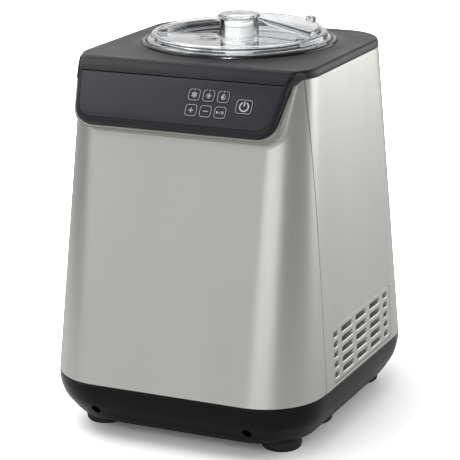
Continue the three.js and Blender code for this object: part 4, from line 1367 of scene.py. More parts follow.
@dataclass
class TopCover:
    """The dark cover: a flat hood round the bowl opening and the bib that carries the controls."""

    finishes: Finishes
    hole: float = 84.75
    top: float = 322.2
    fold: float = -84.3
    depth: float = 6.5
    bib_top: float = -4.5
    bib_bottom: float = 55.4
    bib_corners: Pair = (17.0, 9.0)
    edge_radius: float = 4.6
    fold_radius: float = 0.7
    recess: float = 1.9
    shares: tuple[float, ...] = (0.0, 0.02, 0.05, 0.09, 0.15, 0.22, 0.32, 0.45, 0.6, 0.75, 0.88, 1.0)
    shoulder: Pairs = (
        (2.3, -0.08), (1.6, -0.4), (1.0, -0.95), (0.55, -1.8), (0.2, -3.2), (0.0, -5.0), (0.0, -6.5),
        (0.25, -6.9), (2.2, -6.9), (WALL, -6.6), (WALL, -2.7))
    web_low: float = 18.0
    web_ends: Pairs = ((0.6, -0.6), (0.3, -2.0), (0.3, -6.5))
    web_starts: Triples = (
        (100.6, -80.6, 321.3), (103.0, -75.9, 319.4), (103.4, -75.1, 315.3))
    web_knees: Triples = (
        (97.6, -89.5, 321.4), (99.0, -88.0, 319.2), (99.4, -86.0, 315.3))
    web_wall: Triple = (-2.0, 1.5, -0.4)

    def hood_ring(self, inward: float, z: float) -> Array:
        """Draws the cover's outline, held behind the fold.

        Args:
            inward: how far it is moved inwards.
            z: its height.

        Returns:
            The outline's points.
        """
        path = FORM.ring(FORM.z[1], inward, steps=24, edge=30)
        path[:, 1] = np.maximum(path[:, 1], self.fold + inward)
        return raised(path, z)

    def hole_ring(self, like: Array, radius: float, z: float) -> Array:
        """Draws a circle about the bowl axis whose points face those of another ring.

        Args:
            like: the other ring.
            radius: the circle's radius.
            z: its height.

        Returns:
            The circle's points.
        """
        centre = np.array(BOWL_AXIS)
        away = unit(like[:, :2] - centre)
        return raised(centre + away * radius, z)

    def hood(self, shell: Shell) -> None:
        """Adds the hood to the shell.

        Its rows go from the wall of the hole over a cove that fades within 9 mm, across the flat in straight
        lines to the outline, over the shoulder, down the skirt and back inside.

        Args:
            shell: the shell to add to.
        """
        outer = self.hood_ring(3.0, self.top)
        inner = self.hole_ring(outer, self.hole, self.top)
        shares = np.array(self.shares)
        flat = blend(inner, outer, shares)
        reach = np.linalg.norm(flat[..., :2] - inner[None, :, :2], axis=-1)
        flat[..., 2] += 1.3 * (1.0 - ease(reach / 9.0)) * (1.0 - shares[:, None] ** 3)
        flat[..., 2] -= 0.35 * ease(reach / 12.0) * ease((1.0 - shares[:, None]) / 0.3)
        wall = [self.hole_ring(outer, self.hole, 319.6), self.hole_ring(outer, self.hole, self.top + 0.9)]
        edge = [self.hood_ring(inward, self.top + drop) for inward, drop in self.shoulder]
        shell.grid(np.concatenate([np.stack(wall), flat, np.stack(edge)]), around=True, along=True)

    def fascia_outline(self, grow: float) -> Array:
        """Draws the outline of the control film.

        Args:
            grow: how far it is grown.

        Returns:
            The outline's (x, s) points.
        """
        corners = [
            (-85.2 - grow, 50.4 + grow, 13.0),
            (85.2 + grow, 50.4 + grow, 13.0),
            (92.3 + grow, SHEET.band - grow, 1.2),
            (-92.3 - grow, SHEET.band - grow, 1.2),
        ]
        return outline(corners, 14, 50)

    def bib(self, shell: Shell) -> None:
        """Adds the bib to the shell.

        Its rows are closed outlines in the panel's sheet: the underside, the side wall, a rounding that is small
        along the fold and wide elsewhere, straight lines to the film's recess, and the recess.

        Args:
            shell: the shell to add to.
        """
        low = self.bib_bottom
        high = self.bib_top
        low_corner, high_corner = self.bib_corners
        path = outline([
            (-SHEET.side(low), low, low_corner),
            (SHEET.side(low), low, low_corner),
            (SHEET.side(high), high, high_corner),
            (-SHEET.side(high), high, high_corner),
        ], 14, 50)
        radius = self.fold_radius + (self.edge_radius - self.fold_radius) * ease((path[:, 1] - high) / 12.0)
        rings = []

        def ring(points: Array, out: Array | float) -> None:
            """Adds an outline at its height over the sheet."""
            rings.append(SHEET.place(points[:, 0], points[:, 1], out))

        ring(core(path), -self.depth)
        for share in (0.35, 0.7, 0.9):
            ring(blend(core(path), path, [share])[0], -self.depth)
        ring(inset(path, 0.5), -self.depth)
        ring(inset(path, 0.12), -self.depth + 0.15)
        ring(path, -self.depth + 0.6)
        for turn in np.linspace(0.0, math.pi / 2.0, 9):
            ring(inset(path, radius[:, None] * (1.0 - math.cos(turn))), radius * (math.sin(turn) - 1.0))
        edge = inset(path, radius[:, None])
        film = self.fascia_outline(0.75)
        for share in np.linspace(0.0, 1.0, 14)[1:]:
            ring(blend(edge, film, [share])[0], 0.0)
        ring(self.fascia_outline(0.6), -0.2)
        bottom = self.fascia_outline(0.55)
        middle = core(self.fascia_outline(0.0))
        ring(bottom, -self.recess)
        ring(blend(bottom, middle, [0.5])[0], -self.recess)
        ring(middle, -self.recess)
        shell.tube(np.stack(rings))

    def gussets(self, shell: Shell) -> None:
        """Adds the two webs that lead the skirt's lower edge into the bib's sides.

        A web lies between three quadratic curves, along its top, its shoulder and its free edge, each from the
        skirt round the corner to the bib's side wall, and is closed by the same sheet moved inwards.

        Args:
            shell: the shell to add to.
        """
        inward, out = np.array(self.web_ends).T
        ends = SHEET.place(SHEET.side(self.web_low) - inward, np.full(3, self.web_low), out)
        starts = np.array(self.web_starts)
        knees = np.array(self.web_knees)
        t = np.linspace(0.0, 1.0, 24)[None, :, None]
        curves = starts[:, None] * (1 - t) ** 2 + knees[:, None] * 2 * t * (1 - t) + ends[:, None] * t**2
        shoulder = blend(curves[0], curves[1], np.linspace(0.0, 1.0, 5))
        skirt = blend(curves[1], curves[2], np.linspace(0.0, 1.0, 5)[1:])
        outside = np.concatenate([shoulder, skirt])
        inside = outside + np.array(self.web_wall)
        for side in (1.0, -1.0):
            rings = np.concatenate([outside, inside[::-1]]) * np.array([side, 1.0, 1.0])
            shell.tube(np.moveaxis(rings, 0, 1))

    def build(self) -> None:
        """Builds and dresses the cover."""
        shell = Shell()
        self.hood(shell)
        self.gussets(shell)
        self.bib(shell)
        cover = shell.make("dark_top_cover", sharp=40.0)
        self.finishes.dress(cover, "charcoal_plastic", "housing", "top_cover")


@dataclass
class OpeningRing:
    """The gloss collar round the bowl opening, turned about the bowl axis."""

    finishes: Finishes
    profile: Pairs = (
        (77.8, 312.0), (84.4, 312.0), (84.4, 323.7), (83.9, 325.0), (82.6, 325.8), (81.4, 325.5),
        (80.4, 324.3), (80.4, 322.9), (77.8, 322.9))

    def build(self) -> None:
        """Builds and dresses the ring."""
        ring = solid_of_revolution("bowl_opening_collar", self.profile, 0.55, 192, *BOWL_AXIS, sharp=50.0)
        self.finishes.dress(ring, "gloss_black", "housing", "opening_ring")


@dataclass
class Stroke:
    """One stroke of a printed mark: a thin raised strip along a path, in millimetres on the key's face."""

    path: Array
    width: float = 0.55
    closed: bool = False

    def rings(self, height: float) -> Array:
        """Draws the strip's four rails, left and right of the path, at the print's top and bottom.

        Args:
            height: the height of the print's bottom.

        Returns:
            (path, 4, 3) points.
        """
        ahead = np.roll(self.path, -1, axis=0) - self.path
        behind = self.path - np.roll(self.path, 1, axis=0)
        if not self.closed:
            ahead[-1] = behind[-1]
            behind[0] = ahead[0]
        tangent = unit(unit(ahead) + unit(behind))
        across = np.stack([-tangent[:, 1], tangent[:, 0]], axis=-1) * self.width / 2.0
        return np.stack([
            raised(self.path + across, height),
            raised(self.path + across, height + 0.05),
            raised(self.path - across, height + 0.05),
            raised(self.path - across, height),
        ], axis=1)


def line(x0: float, y0: float, x1: float, y1: float) -> Array:
    """Returns a straight path of five points."""
    return np.stack([np.linspace(x0, x1, 5), np.linspace(y0, y1, 5)], axis=-1)


def arc(radius: float, start: float, end: float, steps: int = 40) -> Array:
    """Returns a path round the origin between two angles in degrees."""
    angle = np.radians(np.linspace(start, end, steps))
    return radius * np.stack([np.cos(angle), np.sin(angle)], axis=-1)


class Mark(Enum):
    """The generic mark on each key."""

    FLAKE = "flake"
    STAR = "star"
    CONE = "cone"
    PLUS = "plus"
    MINUS = "minus"
    PLAY = "play"
    POWER = "power"

    def strokes(self) -> list[Stroke]:
        """Returns the strokes that draw the mark about the key's centre, y up the panel."""
        return getattr(self, f"_{self.value}")()

    @staticmethod
    def _arms(count: int, reach: float, width: float) -> list[Stroke]:
        """Draws straight strokes through the centre, evenly turned.

        Args:
            count: how many.
            reach: half of their length.
            width: their width.

        Returns:
            The strokes.
        """
        turns = math.pi / 2.0 + np.arange(count) * math.pi / count
        tips = reach * np.stack([np.cos(turns), np.sin(turns)], axis=-1)
        return [Stroke(line(*-tip, *tip), width) for tip in tips]

    def _flake(self) -> list[Stroke]:
        """Draws a six-armed flake with a pair of twigs on each arm.

        Returns:
            Its strokes.
        """
        strokes = self._arms(3, 2.7, 0.5)
        for turn in math.pi / 6.0 + np.arange(6) * math.pi / 3.0:
            root = 1.5 * np.array([math.cos(turn), math.sin(turn)])
            for lean in (-0.9, 0.9):
                tip = root + 0.95 * np.array([math.cos(turn + lean), math.sin(turn + lean)])
                strokes.append(Stroke(line(*root, *tip), 0.4))
        return strokes

    def _star(self) -> list[Stroke]:
        """An eight-armed star."""
        return self._arms(4, 2.3, 0.45) + self._arms(2, 2.7, 0.5)

    def _cone(self) -> list[Stroke]:
        """Draws a drop whose left half is filled by wide strokes.

        Returns:
            Its strokes.
        """
        turn = np.linspace(-0.5 * math.pi, 1.5 * math.pi, 48)
        tip = 0.9 * np.maximum(np.sin(turn), 0.0) ** 5
        drop = np.stack([1.7 * np.cos(turn), 1.9 * np.sin(turn) + tip - 0.3], axis=-1)
        fill = [
            Stroke(line(-x, -1.5 * math.cos(x) - 0.2, -x, 1.5 * math.cos(x) - 0.1), 0.5)
            for x in (0.25, 0.65, 1.05)
        ]
        return [Stroke(drop, 0.4, closed=True), *fill]

    def _plus(self) -> list[Stroke]:
        """Two crossed bars."""
        return [Stroke(line(-2.1, 0.0, 2.1, 0.0), 0.6), Stroke(line(0.0, -2.1, 0.0, 2.1), 0.6)]

    def _minus(self) -> list[Stroke]:
        """One bar."""
        return [Stroke(line(-2.1, 0.0, 2.1, 0.0), 0.6)]

    def _play(self) -> list[Stroke]:
        """Draws a play triangle, a slash and two bars.

        Returns:
            Its strokes.
        """
        wedge = [
            Stroke(line(x, -half, x, half), 0.36)
            for x, half in zip(np.linspace(-3.1, -1.7, 5), np.linspace(1.2, 0.24, 5))
        ]
        slash = Stroke(line(-0.7, -1.3, 0.5, 1.3), 0.35)
        bars = [Stroke(line(x, -1.2, x, 1.2), 0.5) for x in (1.6, 2.6)]
        return [*wedge, slash, *bars]

    def _power(self) -> list[Stroke]:
        """A ring open at the top with a bar in the opening."""
        return [Stroke(arc(3.8, 118.0, 422.0), 1.05), Stroke(line(0.0, 0.3, 0.0, 4.4), 1.05)]


@dataclass(frozen=True)
class Key:
    """One key: its node name, its place on the panel, its size and its mark."""

    name: str
    x: float
    s: float
    mark: Mark
    width: float = 11.0
    height: float = 10.6
    lamp: bool = False


@dataclass
class ControlPanel:
    """The film on the bib, its seven keys and their printed marks."""

    finishes: Finishes
    cover: TopCover
    columns: Triple = (16.1, 29.1, 42.2)
    rows: Pair = (24.4, 37.8)
    corner: float = 3.0
    film_levels: Pairs = (
        (-0.2, -1.6), (0.0, -1.4), (0.0, -0.3), (-0.05, -0.22), (-0.2, -0.18))
    cap_levels: Pairs = (
        (0.8, -3.4), (0.8, -2.75), (0.0, -2.7), (0.0, -0.15), (-0.06, 0.1), (-0.22, 0.24), (-0.5, 0.3))
    dish: float = 0.12
    border: float = 0.55
    lamp_gap: float = 1.9

    def keys(self) -> list[Key]:
        """Lists the keys, row by row, and the power key.

        Returns:
            The keys.
        """
        marks = [
            [("key_cool", Mark.FLAKE), ("key_keep_cool", Mark.STAR), ("key_texture", Mark.CONE)],
            [("key_plus", Mark.PLUS), ("key_minus", Mark.MINUS), ("key_start", Mark.PLAY)],
        ]
        found = [
            Key(name, x, s, mark, lamp=s == self.rows[0])
            for s, row in zip(self.rows, marks)
            for x, (name, mark) in zip(self.columns, row)
        ]
        return [*found, Key("key_power", 62.0, 31.2, Mark.POWER, 14.8, 12.6)]

    def place(self, points: Array, key: Key | None = None) -> Array:
        """Places points of the panel, or of one key's own frame.

        Args:
            points: (x, up, out) points.
            key: the key, or nothing for the panel.

        Returns:
            The placed points.
        """
        x, up, out = np.moveaxis(points, -1, 0)
        dx, s = (key.x, key.s) if key else (0.0, 0.0)
        return SHEET.place(x + dx, s - up, out)

    def key_outline(self, key: Key, grow: float) -> Array:
        """Returns the key's outline about its own centre, grown by a distance."""
        corners = slab_corners(key.width / 2.0 + grow, key.height / 2.0 + grow, self.corner + grow)
        return outline(corners, 8, 8)

    def film(self) -> Piece:
        """Builds the film, a thin plate in the bib's recess, and cuts the key holes.

        Returns:
            The film.
        """
        shell = Shell()
        rings = [raised(self.cover.fascia_outline(grow), height) for grow, height in self.film_levels]
        stacked = np.stack(rings)
        shell.tube(SHEET.place(stacked[..., 0], stacked[..., 1], stacked[..., 2]))
        piece = shell.make("control_film")
        tools = []
        for key in self.keys():
            hole = self.key_outline(key, GAP)
            cutter = Shell()
            cutter.tube(np.stack([self.place(raised(hole, height), key) for height in (-4.0, 3.0)]))
            tools.append(cutter.make("cutter"))
        return cut_away(piece, tools)

    def cap(self, key: Key) -> Piece:
        """Builds a key cap: a flange, the upright wall, a rounded edge and a dished face.

        Args:
            key: the key.

        Returns:
            The cap.
        """
        shell = Shell()
        outlines = [raised(self.key_outline(key, grow), height) for grow, height in self.cap_levels]
        low = self.cap_levels[0][1]
        high = self.cap_levels[-1][1]
        edge = outlines[-1][:, :2]
        shares = [0.2, 0.45, 0.75, 1.0]
        paths = blend(edge, core(edge), shares)
        face = [raised(path, high - self.dish * share) for path, share in zip(paths, shares)]
        rows = [raised(core(outlines[0][:, :2]), low), *outlines, *face]
        shell.tube(self.place(np.stack(rows), key))
        return shell.make(f"{key.name}_cap")

    def marks(self, key: Key) -> Piece:
        """Builds the key's pale outline and mark as thin raised print.

        A key with a lamp has an outline that opens round the lamp's dot at the top.

        Args:
            key: the key.

        Returns:
            The print.
        """
        shell = Shell()
        half = (key.width / 2.0 - self.border, key.height / 2.0 - self.border)
        path = outline(slab_corners(*half, self.corner - 0.6), 8, 10)
        if key.lamp:
            start = int(np.argmin(np.abs(path[:, 0]) - 10.0 * np.sign(path[:, 1])))
            path = np.roll(path, -start, axis=0)
            path = path[np.hypot(path[:, 0], path[:, 1] - key.height / 2.0 + 0.5) > self.lamp_gap]
        strokes = [Stroke(path, 0.34, closed=not key.lamp), *key.mark.strokes()]
        for stroke in strokes:
            rails = self.place(stroke.rings(0.27), key)
            if stroke.closed:
                shell.grid(rails, around=True, along=True)
            else:
                shell.tube(rails)
        if key.lamp:
            profile = [(0.0, 0.26), (0.55, 0.26), (0.55, 0.34), (0.0, 0.34)]
            dot = turned(profile, 20, 0.0, key.height / 2.0 - 0.7)
            shell.grid(self.place(dot, key), around=True)
        return shell.make(f"{key.name}_print")

    def build(self) -> None:
        """Builds and dresses the film, the keys and their marks."""
        self.finishes.dress(self.film(), "control_film", "housing", "control_fascia")
        for key in self.keys():
            self.finishes.dress(self.cap(key), "key_plastic", key.name, key.name)
            marks = self.finishes.dress(self.marks(key), "key_plastic", key.name)
            marks.data.materials[0] = self.finishes.print


# ---------------------------------------------------------------- base


@dataclass
class Base:
    """The black base tray with its four screw sinks, and the six rubber feet."""

    finishes: Finishes
    flank: Triples = (
        (48.3, 0.0, 0.0), (40.0, 0.5, 0.8), (30.0, 2.8, 3.9), (22.0, 7.0, 8.9), (16.0, 10.8, 13.2),
        (12.0, 14.0, 17.0))
    rim: Pairs = ((48.3, 1.0), (48.3, 0.35), (48.0, 0.05))
    inside: Triples = ((48.3, 0.0, 0.0), (30.0, 2.8, 3.9), (15.0, 12.0, 14.5))
    underside: Triple = (12.0, 15.0, 18.0)
    screw: Triple = (71.0, 24.0, 4.2)
    sink_depths: Triple = (111.0, 125.0, 140.0)
    rows: tuple[tuple[str, float], ...] = (("front", -85.0), ("middle", -17.0), ("rear", 93.0))
    feet_x: float = 84.0
    foot_profile: Pairs = (
        (0.0, 1.6), (11.0, 1.6), (12.2, 0.0), (15.3, 0.0), (16.6, 1.3), (17.0, 4.0), (17.0, 8.4),
        (16.4, 8.8), (16.4, 9.8), (17.0, 10.2), (17.0, 11.7), (0.0, 11.7))

    def ring(self, z: float, side: float, ends: float, wall: float = 0.0) -> Array:
        """Draws the base's rounded outline.

        Args:
            z: the height.
            side: how far it lies inside the casing's outline at the sides.
            ends: the same at the front and the back.
            wall: how far it is moved inwards on top of that.

        Returns:
            The outline's points.
        """
        half = FORM.half[0] - side - wall
        depth = FORM.back[0] - ends - wall
        radius = FORM.front_corner[0] - 0.4 * side - wall
        return raised(outline(slab_corners(half, depth, radius), 20, 16), z)

    def flank_levels(self) -> Array:
        """Draws the flank as a Catmull-Rom curve through its knots.

        Returns:
            (z, side, ends) rows, downwards.
        """
        knots = np.array(self.flank)
        padded = np.concatenate([[2 * knots[0] - knots[1]], knots, [2 * knots[-1] - knots[-2]]])
        t = np.linspace(0.0, 1.0, 7)[:-1, None]
        spans = []
        for a, b, c, d in zip(padded, padded[1:], padded[2:], padded[3:]):
            square = 2 * a - 5 * b + 4 * c - d
            cube = 3 * b - a - 3 * c + d
            spans.append(0.5 * (2 * b + (c - a) * t + square * t**2 + cube * t**3))
        return np.concatenate([*spans, knots[-1:]])

    def tray(self) -> Piece:
        """Builds the tray: the flank, a flat underside and the same form inside, with its sinks cut.

        Returns:
            The tray.
        """
        outer = [self.ring(z, inward, inward) for z, inward in self.rim]
        outer += [self.ring(z, side, ends) for z, side, ends in self.flank_levels()[2:]]
        under = self.ring(*self.underside)
        inner = [self.ring(z, side, ends, WALL) for z, side, ends in self.inside]
        under_core = raised(core(under[:, :2]), under[0, 2])
        floor_core = raised(core(inner[-1][:, :2]), inner[-1][0, 2])
        rows = [under_core, under, *outer[::-1], *inner, floor_core]
        shell = Shell()
        shell.tube(np.stack(rows))
        piece = shell.make("base_shell", sharp=40.0)
        return cut_away(piece, [self.sink(side, end) for side in (-1.0, 1.0) for end in (-1.0, 1.0)])

    def sink(self, side: float, end: float) -> Piece:
        """Makes the cutter of one screw sink, a cylinder along Y.

        Args:
            side: 1 for the right side, -1 for the left.
            end: 1 for the back, -1 for the front.

        Returns:
            The cutter.
        """
        x, z, radius = self.screw
        depths = end * np.array(self.sink_depths)[:, None]
        angle = np.linspace(0.0, 2.0 * math.pi, 32, endpoint=False)
        across = side * x + radius * np.cos(angle) + 0.0 * depths
        up = z + radius * np.sin(angle) + 0.0 * depths
        deep = depths + 0.0 * across
        shell = Shell()
        shell.tube(np.stack([across, deep, up], axis=-1))
        return shell.make("cutter")

    def foot(self, name: str, x: float, y: float) -> Piece:
        """Builds one foot: a turned rubber pad with a groove, a rounded tread and a hollow underneath."""
        return solid_of_revolution(name, self.foot_profile, 0.6, 72, x, y)

    def build(self) -> None:
        """Builds and dresses the tray and the feet."""
        self.finishes.dress(self.tray(), "base_plastic", "housing", "base_tray")
        for row, y in self.rows:
            for side, sign in (("left", -1.0), ("right", 1.0)):
                pad = self.foot(f"rubber_foot_{row}_{side}", sign * self.feet_x, y)
                self.finishes.dress(pad, "rubber", "housing", f"foot_{row}_{side}")


# ---------------------------------------------------------------- lid, bowl and paddle


def about_bowl(out: Array, aside: Array, up: Array, turn: float) -> Array:
    """Places points of an arm about the bowl axis.

    Args:
        out: how far out from the axis they lie.
        aside: how far to the arm's left.
        up: their heights.
        turn: the arm's angle, in radians.

    Returns:
        The placed points.
    """
    x = BOWL_AXIS[0] + out * math.cos(turn) - aside * math.sin(turn)
    y = BOWL_AXIS[1] + out * math.sin(turn) + aside * math.cos(turn)
    return np.stack([x, y, up], axis=-1)


@dataclass
class Lid:
    """The clear lid, an even sheet turned about the bowl axis, with its refill opening, plateau and door."""

    finishes: Finishes
    thickness: float = 1.5
    floor: float = 325.0
    rise: float = 4.0
    rim: float = 0.3
    plateau: Pair = (-167.0, -13.0)
    refill: Pair = (114.0, 186.0)
    refill_reach: Pair = (24.0, 64.0)
    door: Pair = (-5.0, 105.0)
    door_reach: float = 69.0
    profile: Pairs = (
        (16.6, 343.2), (17.0, 325.0), (69.4, 325.0), (70.6, 331.0), (71.8, 331.9), (74.6, 331.9),
        (75.9, 331.0), (76.9, 326.8), (79.9, 326.4), (79.9, 323.4))
    blocks: tuple[tuple[float, ...], ...] = (
        (67.0, -15.0, 3.4, 2.2, 328.2, 332.2), (67.0, -165.0, 3.4, 2.2, 328.2, 332.2),
        (44.0, -15.0, 21.0, 0.8, 328.2, 330.0), (44.0, -165.0, 21.0, 0.8, 328.2, 330.0),
        (48.0, -52.0, 0.7, 4.0, 328.4, 330.0), (46.0, -57.5, 2.4, 0.7, 328.4, 330.0))
    cap: Pairs = (
        (0.0, 343.6), (11.0, 343.6), (11.0, 341.0), (14.5, 341.0), (14.5, 343.6), (18.0, 343.6),
        (18.0, 345.4), (16.6, 346.6), (0.0, 346.6))
    tab: Pairs = ((0.0, 334.2), (0.0, 337.6), (0.3, 338.2), (0.9, 338.5))
    tab_reach: float = 69.6

    def sheet_rows(self) -> Array:
        """Draws the lid's profile, its corners softened and its floor divided evenly.

        Returns:
            The profile's (radius, z) rows, outwards.
        """
        path = soften(self.profile, 1.4, 5, closed=False)
        reach = np.linspace(19.0, 68.0, 34)
        floor = np.stack([reach, np.full(34, self.floor)], axis=-1)
        on_floor = np.abs(path[:, 1] - self.floor) < 1e-3
        before = path[(~on_floor) & (path[:, 0] < 40.0)]
        after = path[(~on_floor) & (path[:, 0] > 40.0)]
        return np.concatenate([before, floor, after])

    def angles(self) -> Array:
        """Divides the turn into columns, with close ones at the plateau's two walls.

        Returns:
            The columns' angles, in degrees.
        """
        even = np.arange(0.0, 360.0, 1.25)
        special = []
        for wall in (self.plateau[0] % 360.0, self.plateau[1] % 360.0):
            special += [wall - 0.6, wall - 0.3, wall, wall + 0.3, wall + 0.6]
        special += [self.refill[0], self.refill[1]]
        near = np.min(np.abs(even[:, None] - np.array(special)[None]), axis=1) < 0.5
        return np.sort(np.concatenate([even[~near], special]))

    def sheet(self) -> Piece:
        """Builds the lid's sheet.

        A point is the profile turned to its angle. Between the plateau's walls the floor rises, and a thumb
        oval stands out of it by another 0.9 mm. Quads inside the refill opening are left out.

        Returns:
            The sheet.
        """
        rows = self.sheet_rows()
        degrees = self.angles()
        angle = np.radians(degrees)
        radius = np.broadcast_to(rows[:, :1], (len(rows), len(angle))).copy()
        height = np.broadcast_to(rows[:, 1:], radius.shape).copy()
        start, end = self.plateau[0] % 360.0, self.plateau[1] % 360.0
        inside = ease((degrees - start) / 1.2 + 0.5) * ease((end - degrees) / 1.2 + 0.5)
        floor = ease((radius - 17.2) / 1.2) * ease((70.4 - radius) / 1.2)
        lift = self.rise * inside[None] * floor
        low = (height < self.floor + self.rise) & (radius < 71.0)
        height = np.where(low, np.maximum(height, self.floor + lift), height)
        x = radius * np.cos(angle)
        y = radius * np.sin(angle)
        oval = np.hypot((x + 18.0) / 10.5, (y + 27.0) / 8.0)
        height += 0.9 * (1.0 - ease((oval - 0.82) / 0.18)) * inside[None]
        height -= 0.6 * (1.0 - ease((oval - 0.5) / 0.3)) * inside[None]
        cell_r = (rows[:-1, 0] + rows[1:, 0])[:, None] / 2.0
        cell_a = ((degrees + np.roll(degrees, -1)) / 2.0)[None]
        cell_a = np.where(cell_a < degrees[None], (degrees[None] + 360.0 + degrees[0]) / 2.0, cell_a)
        hole = (cell_r > self.refill_reach[0]) & (cell_r < self.refill_reach[1])
        hole = hole & (cell_a > self.refill[0]) & (cell_a < self.refill[1])
        hole = hole & (rows[:-1, 1] < self.floor + 0.1)[:, None]
        shell = Shell()
        shell.grid(about_bowl(x, y, height, 0.0), around=True, keep=~hole)
        piece = outward(shell.make("clear_lid_sheet", closed=False, sharp=50.0), (*BOWL_AXIS, 200.0))
        modify(piece, "SOLIDIFY", thickness=self.thickness * MM, offset=-1.0)
        applied(piece)
        return rims_rounded(piece, self.rim, 2)

    def clips(self) -> Piece:
        """Builds the two clips on the plateau's ends and the L-shaped latch mark, as small rounded blocks.

        Returns:
            The clips.
        """
        shell = Shell()
        for radius, degrees, half_r, half_t, low, high in self.blocks:
            path = outline(slab_corners(half_r, half_t, min(half_r, half_t) * 0.6), 5, 4)
            rim = min(0.5, half_t * 0.5, half_r * 0.5)
            levels = [(0.0, low), (0.0, high - rim), (rim * 0.3, high - rim * 0.3), (rim, high)]
            rings = [raised(inset(path, inward), z) for inward, z in levels]
            rings = [raised(core(rings[0][:, :2]), low), *rings, raised(core(rings[-1][:, :2]), high)]
            out, aside, up = np.moveaxis(np.stack(rings), -1, 0)
            shell.tube(about_bowl(radius + out, aside, up, math.radians(degrees)))
        return shell.make("lid_clips")

    def door_fan(self) -> Piece:
        """Builds the door's fan: a shallow cone between two angles whose sides turn down into skirts.

        The height falls in a straight line from the cap to the outer lip, less the drop of the two skirts and
        of the lip.

        Returns:
            The fan.
        """
        start, end = self.door
        inner = np.linspace(start + 1.2, end - 1.2, 72)
        degrees = np.concatenate([[start, start, start + 0.35], inner, [end - 0.35, end, end]])
        skirt = np.concatenate([[1.0, 0.12, 0.0], np.zeros(72), [0.0, 0.12, 1.0]])
        far = self.door_reach
        reach = np.concatenate([np.linspace(17.5, far - 1.0, 30), [far - 0.4, far, far]])
        lip = np.concatenate([np.zeros(30), [0.05, 0.3, 3.2]])
        angle = np.radians(degrees)[None]
        radius = reach[:, None] + 0.0 * angle
        cone = 345.6 - (radius - 16.0) * (345.8 - 336.0) / 53.0
        side_drop = skirt[None] * (1.2 + 3.4 * ease((radius - 17.5) / 12.0))
        height = cone - np.maximum(side_drop, lip[:, None])
        shell = Shell()
        shell.grid(about_bowl(radius * np.cos(angle), radius * np.sin(angle), height, 0.0))
        piece = outward(shell.make("door_fan", closed=False, sharp=55.0), (25.0, 45.0, 250.0))
        modify(piece, "SOLIDIFY", thickness=self.thickness * MM, offset=-1.0)
        applied(piece)
        return rims_rounded(piece, self.rim, 2)

    def door_cap(self) -> Piece:
        """Builds the door's round cap with the spigot that turns in the tower, and the finger tab.

        Returns:
            The cap.
        """
        shell = Shell()
        shell.grid(turned(soften(self.cap, 0.5, closed=False), 96, *BOWL_AXIS), around=True)
        tab = outline(slab_corners(3.0, 4.4, 1.6), 6, 4)
        rings = [raised(inset(tab, inward), z) for inward, z in self.tab]
        top = raised(core(rings[-1][:, :2]), self.tab[-1][1])
        rings = [raised(core(tab), self.tab[0][1]), *rings, top]
        out, aside, up = np.moveaxis(np.stack(rings), -1, 0)
        shell.tube(about_bowl(self.tab_reach + out, aside, up, math.radians(sum(self.door) / 2.0)))
        return shell.make("door_cap")

    def build(self) -> None:
        """Builds and dresses the lid and its door."""
        self.finishes.dress(self.sheet(), "clear_plastic", "lid", "lid")
        self.finishes.dress(self.clips(), "clear_plastic", "lid")
        self.finishes.dress(self.door_fan(), "clear_plastic", "refill_door", "refill_door")
        self.finishes.dress(self.door_cap(), "clear_plastic", "refill_door")


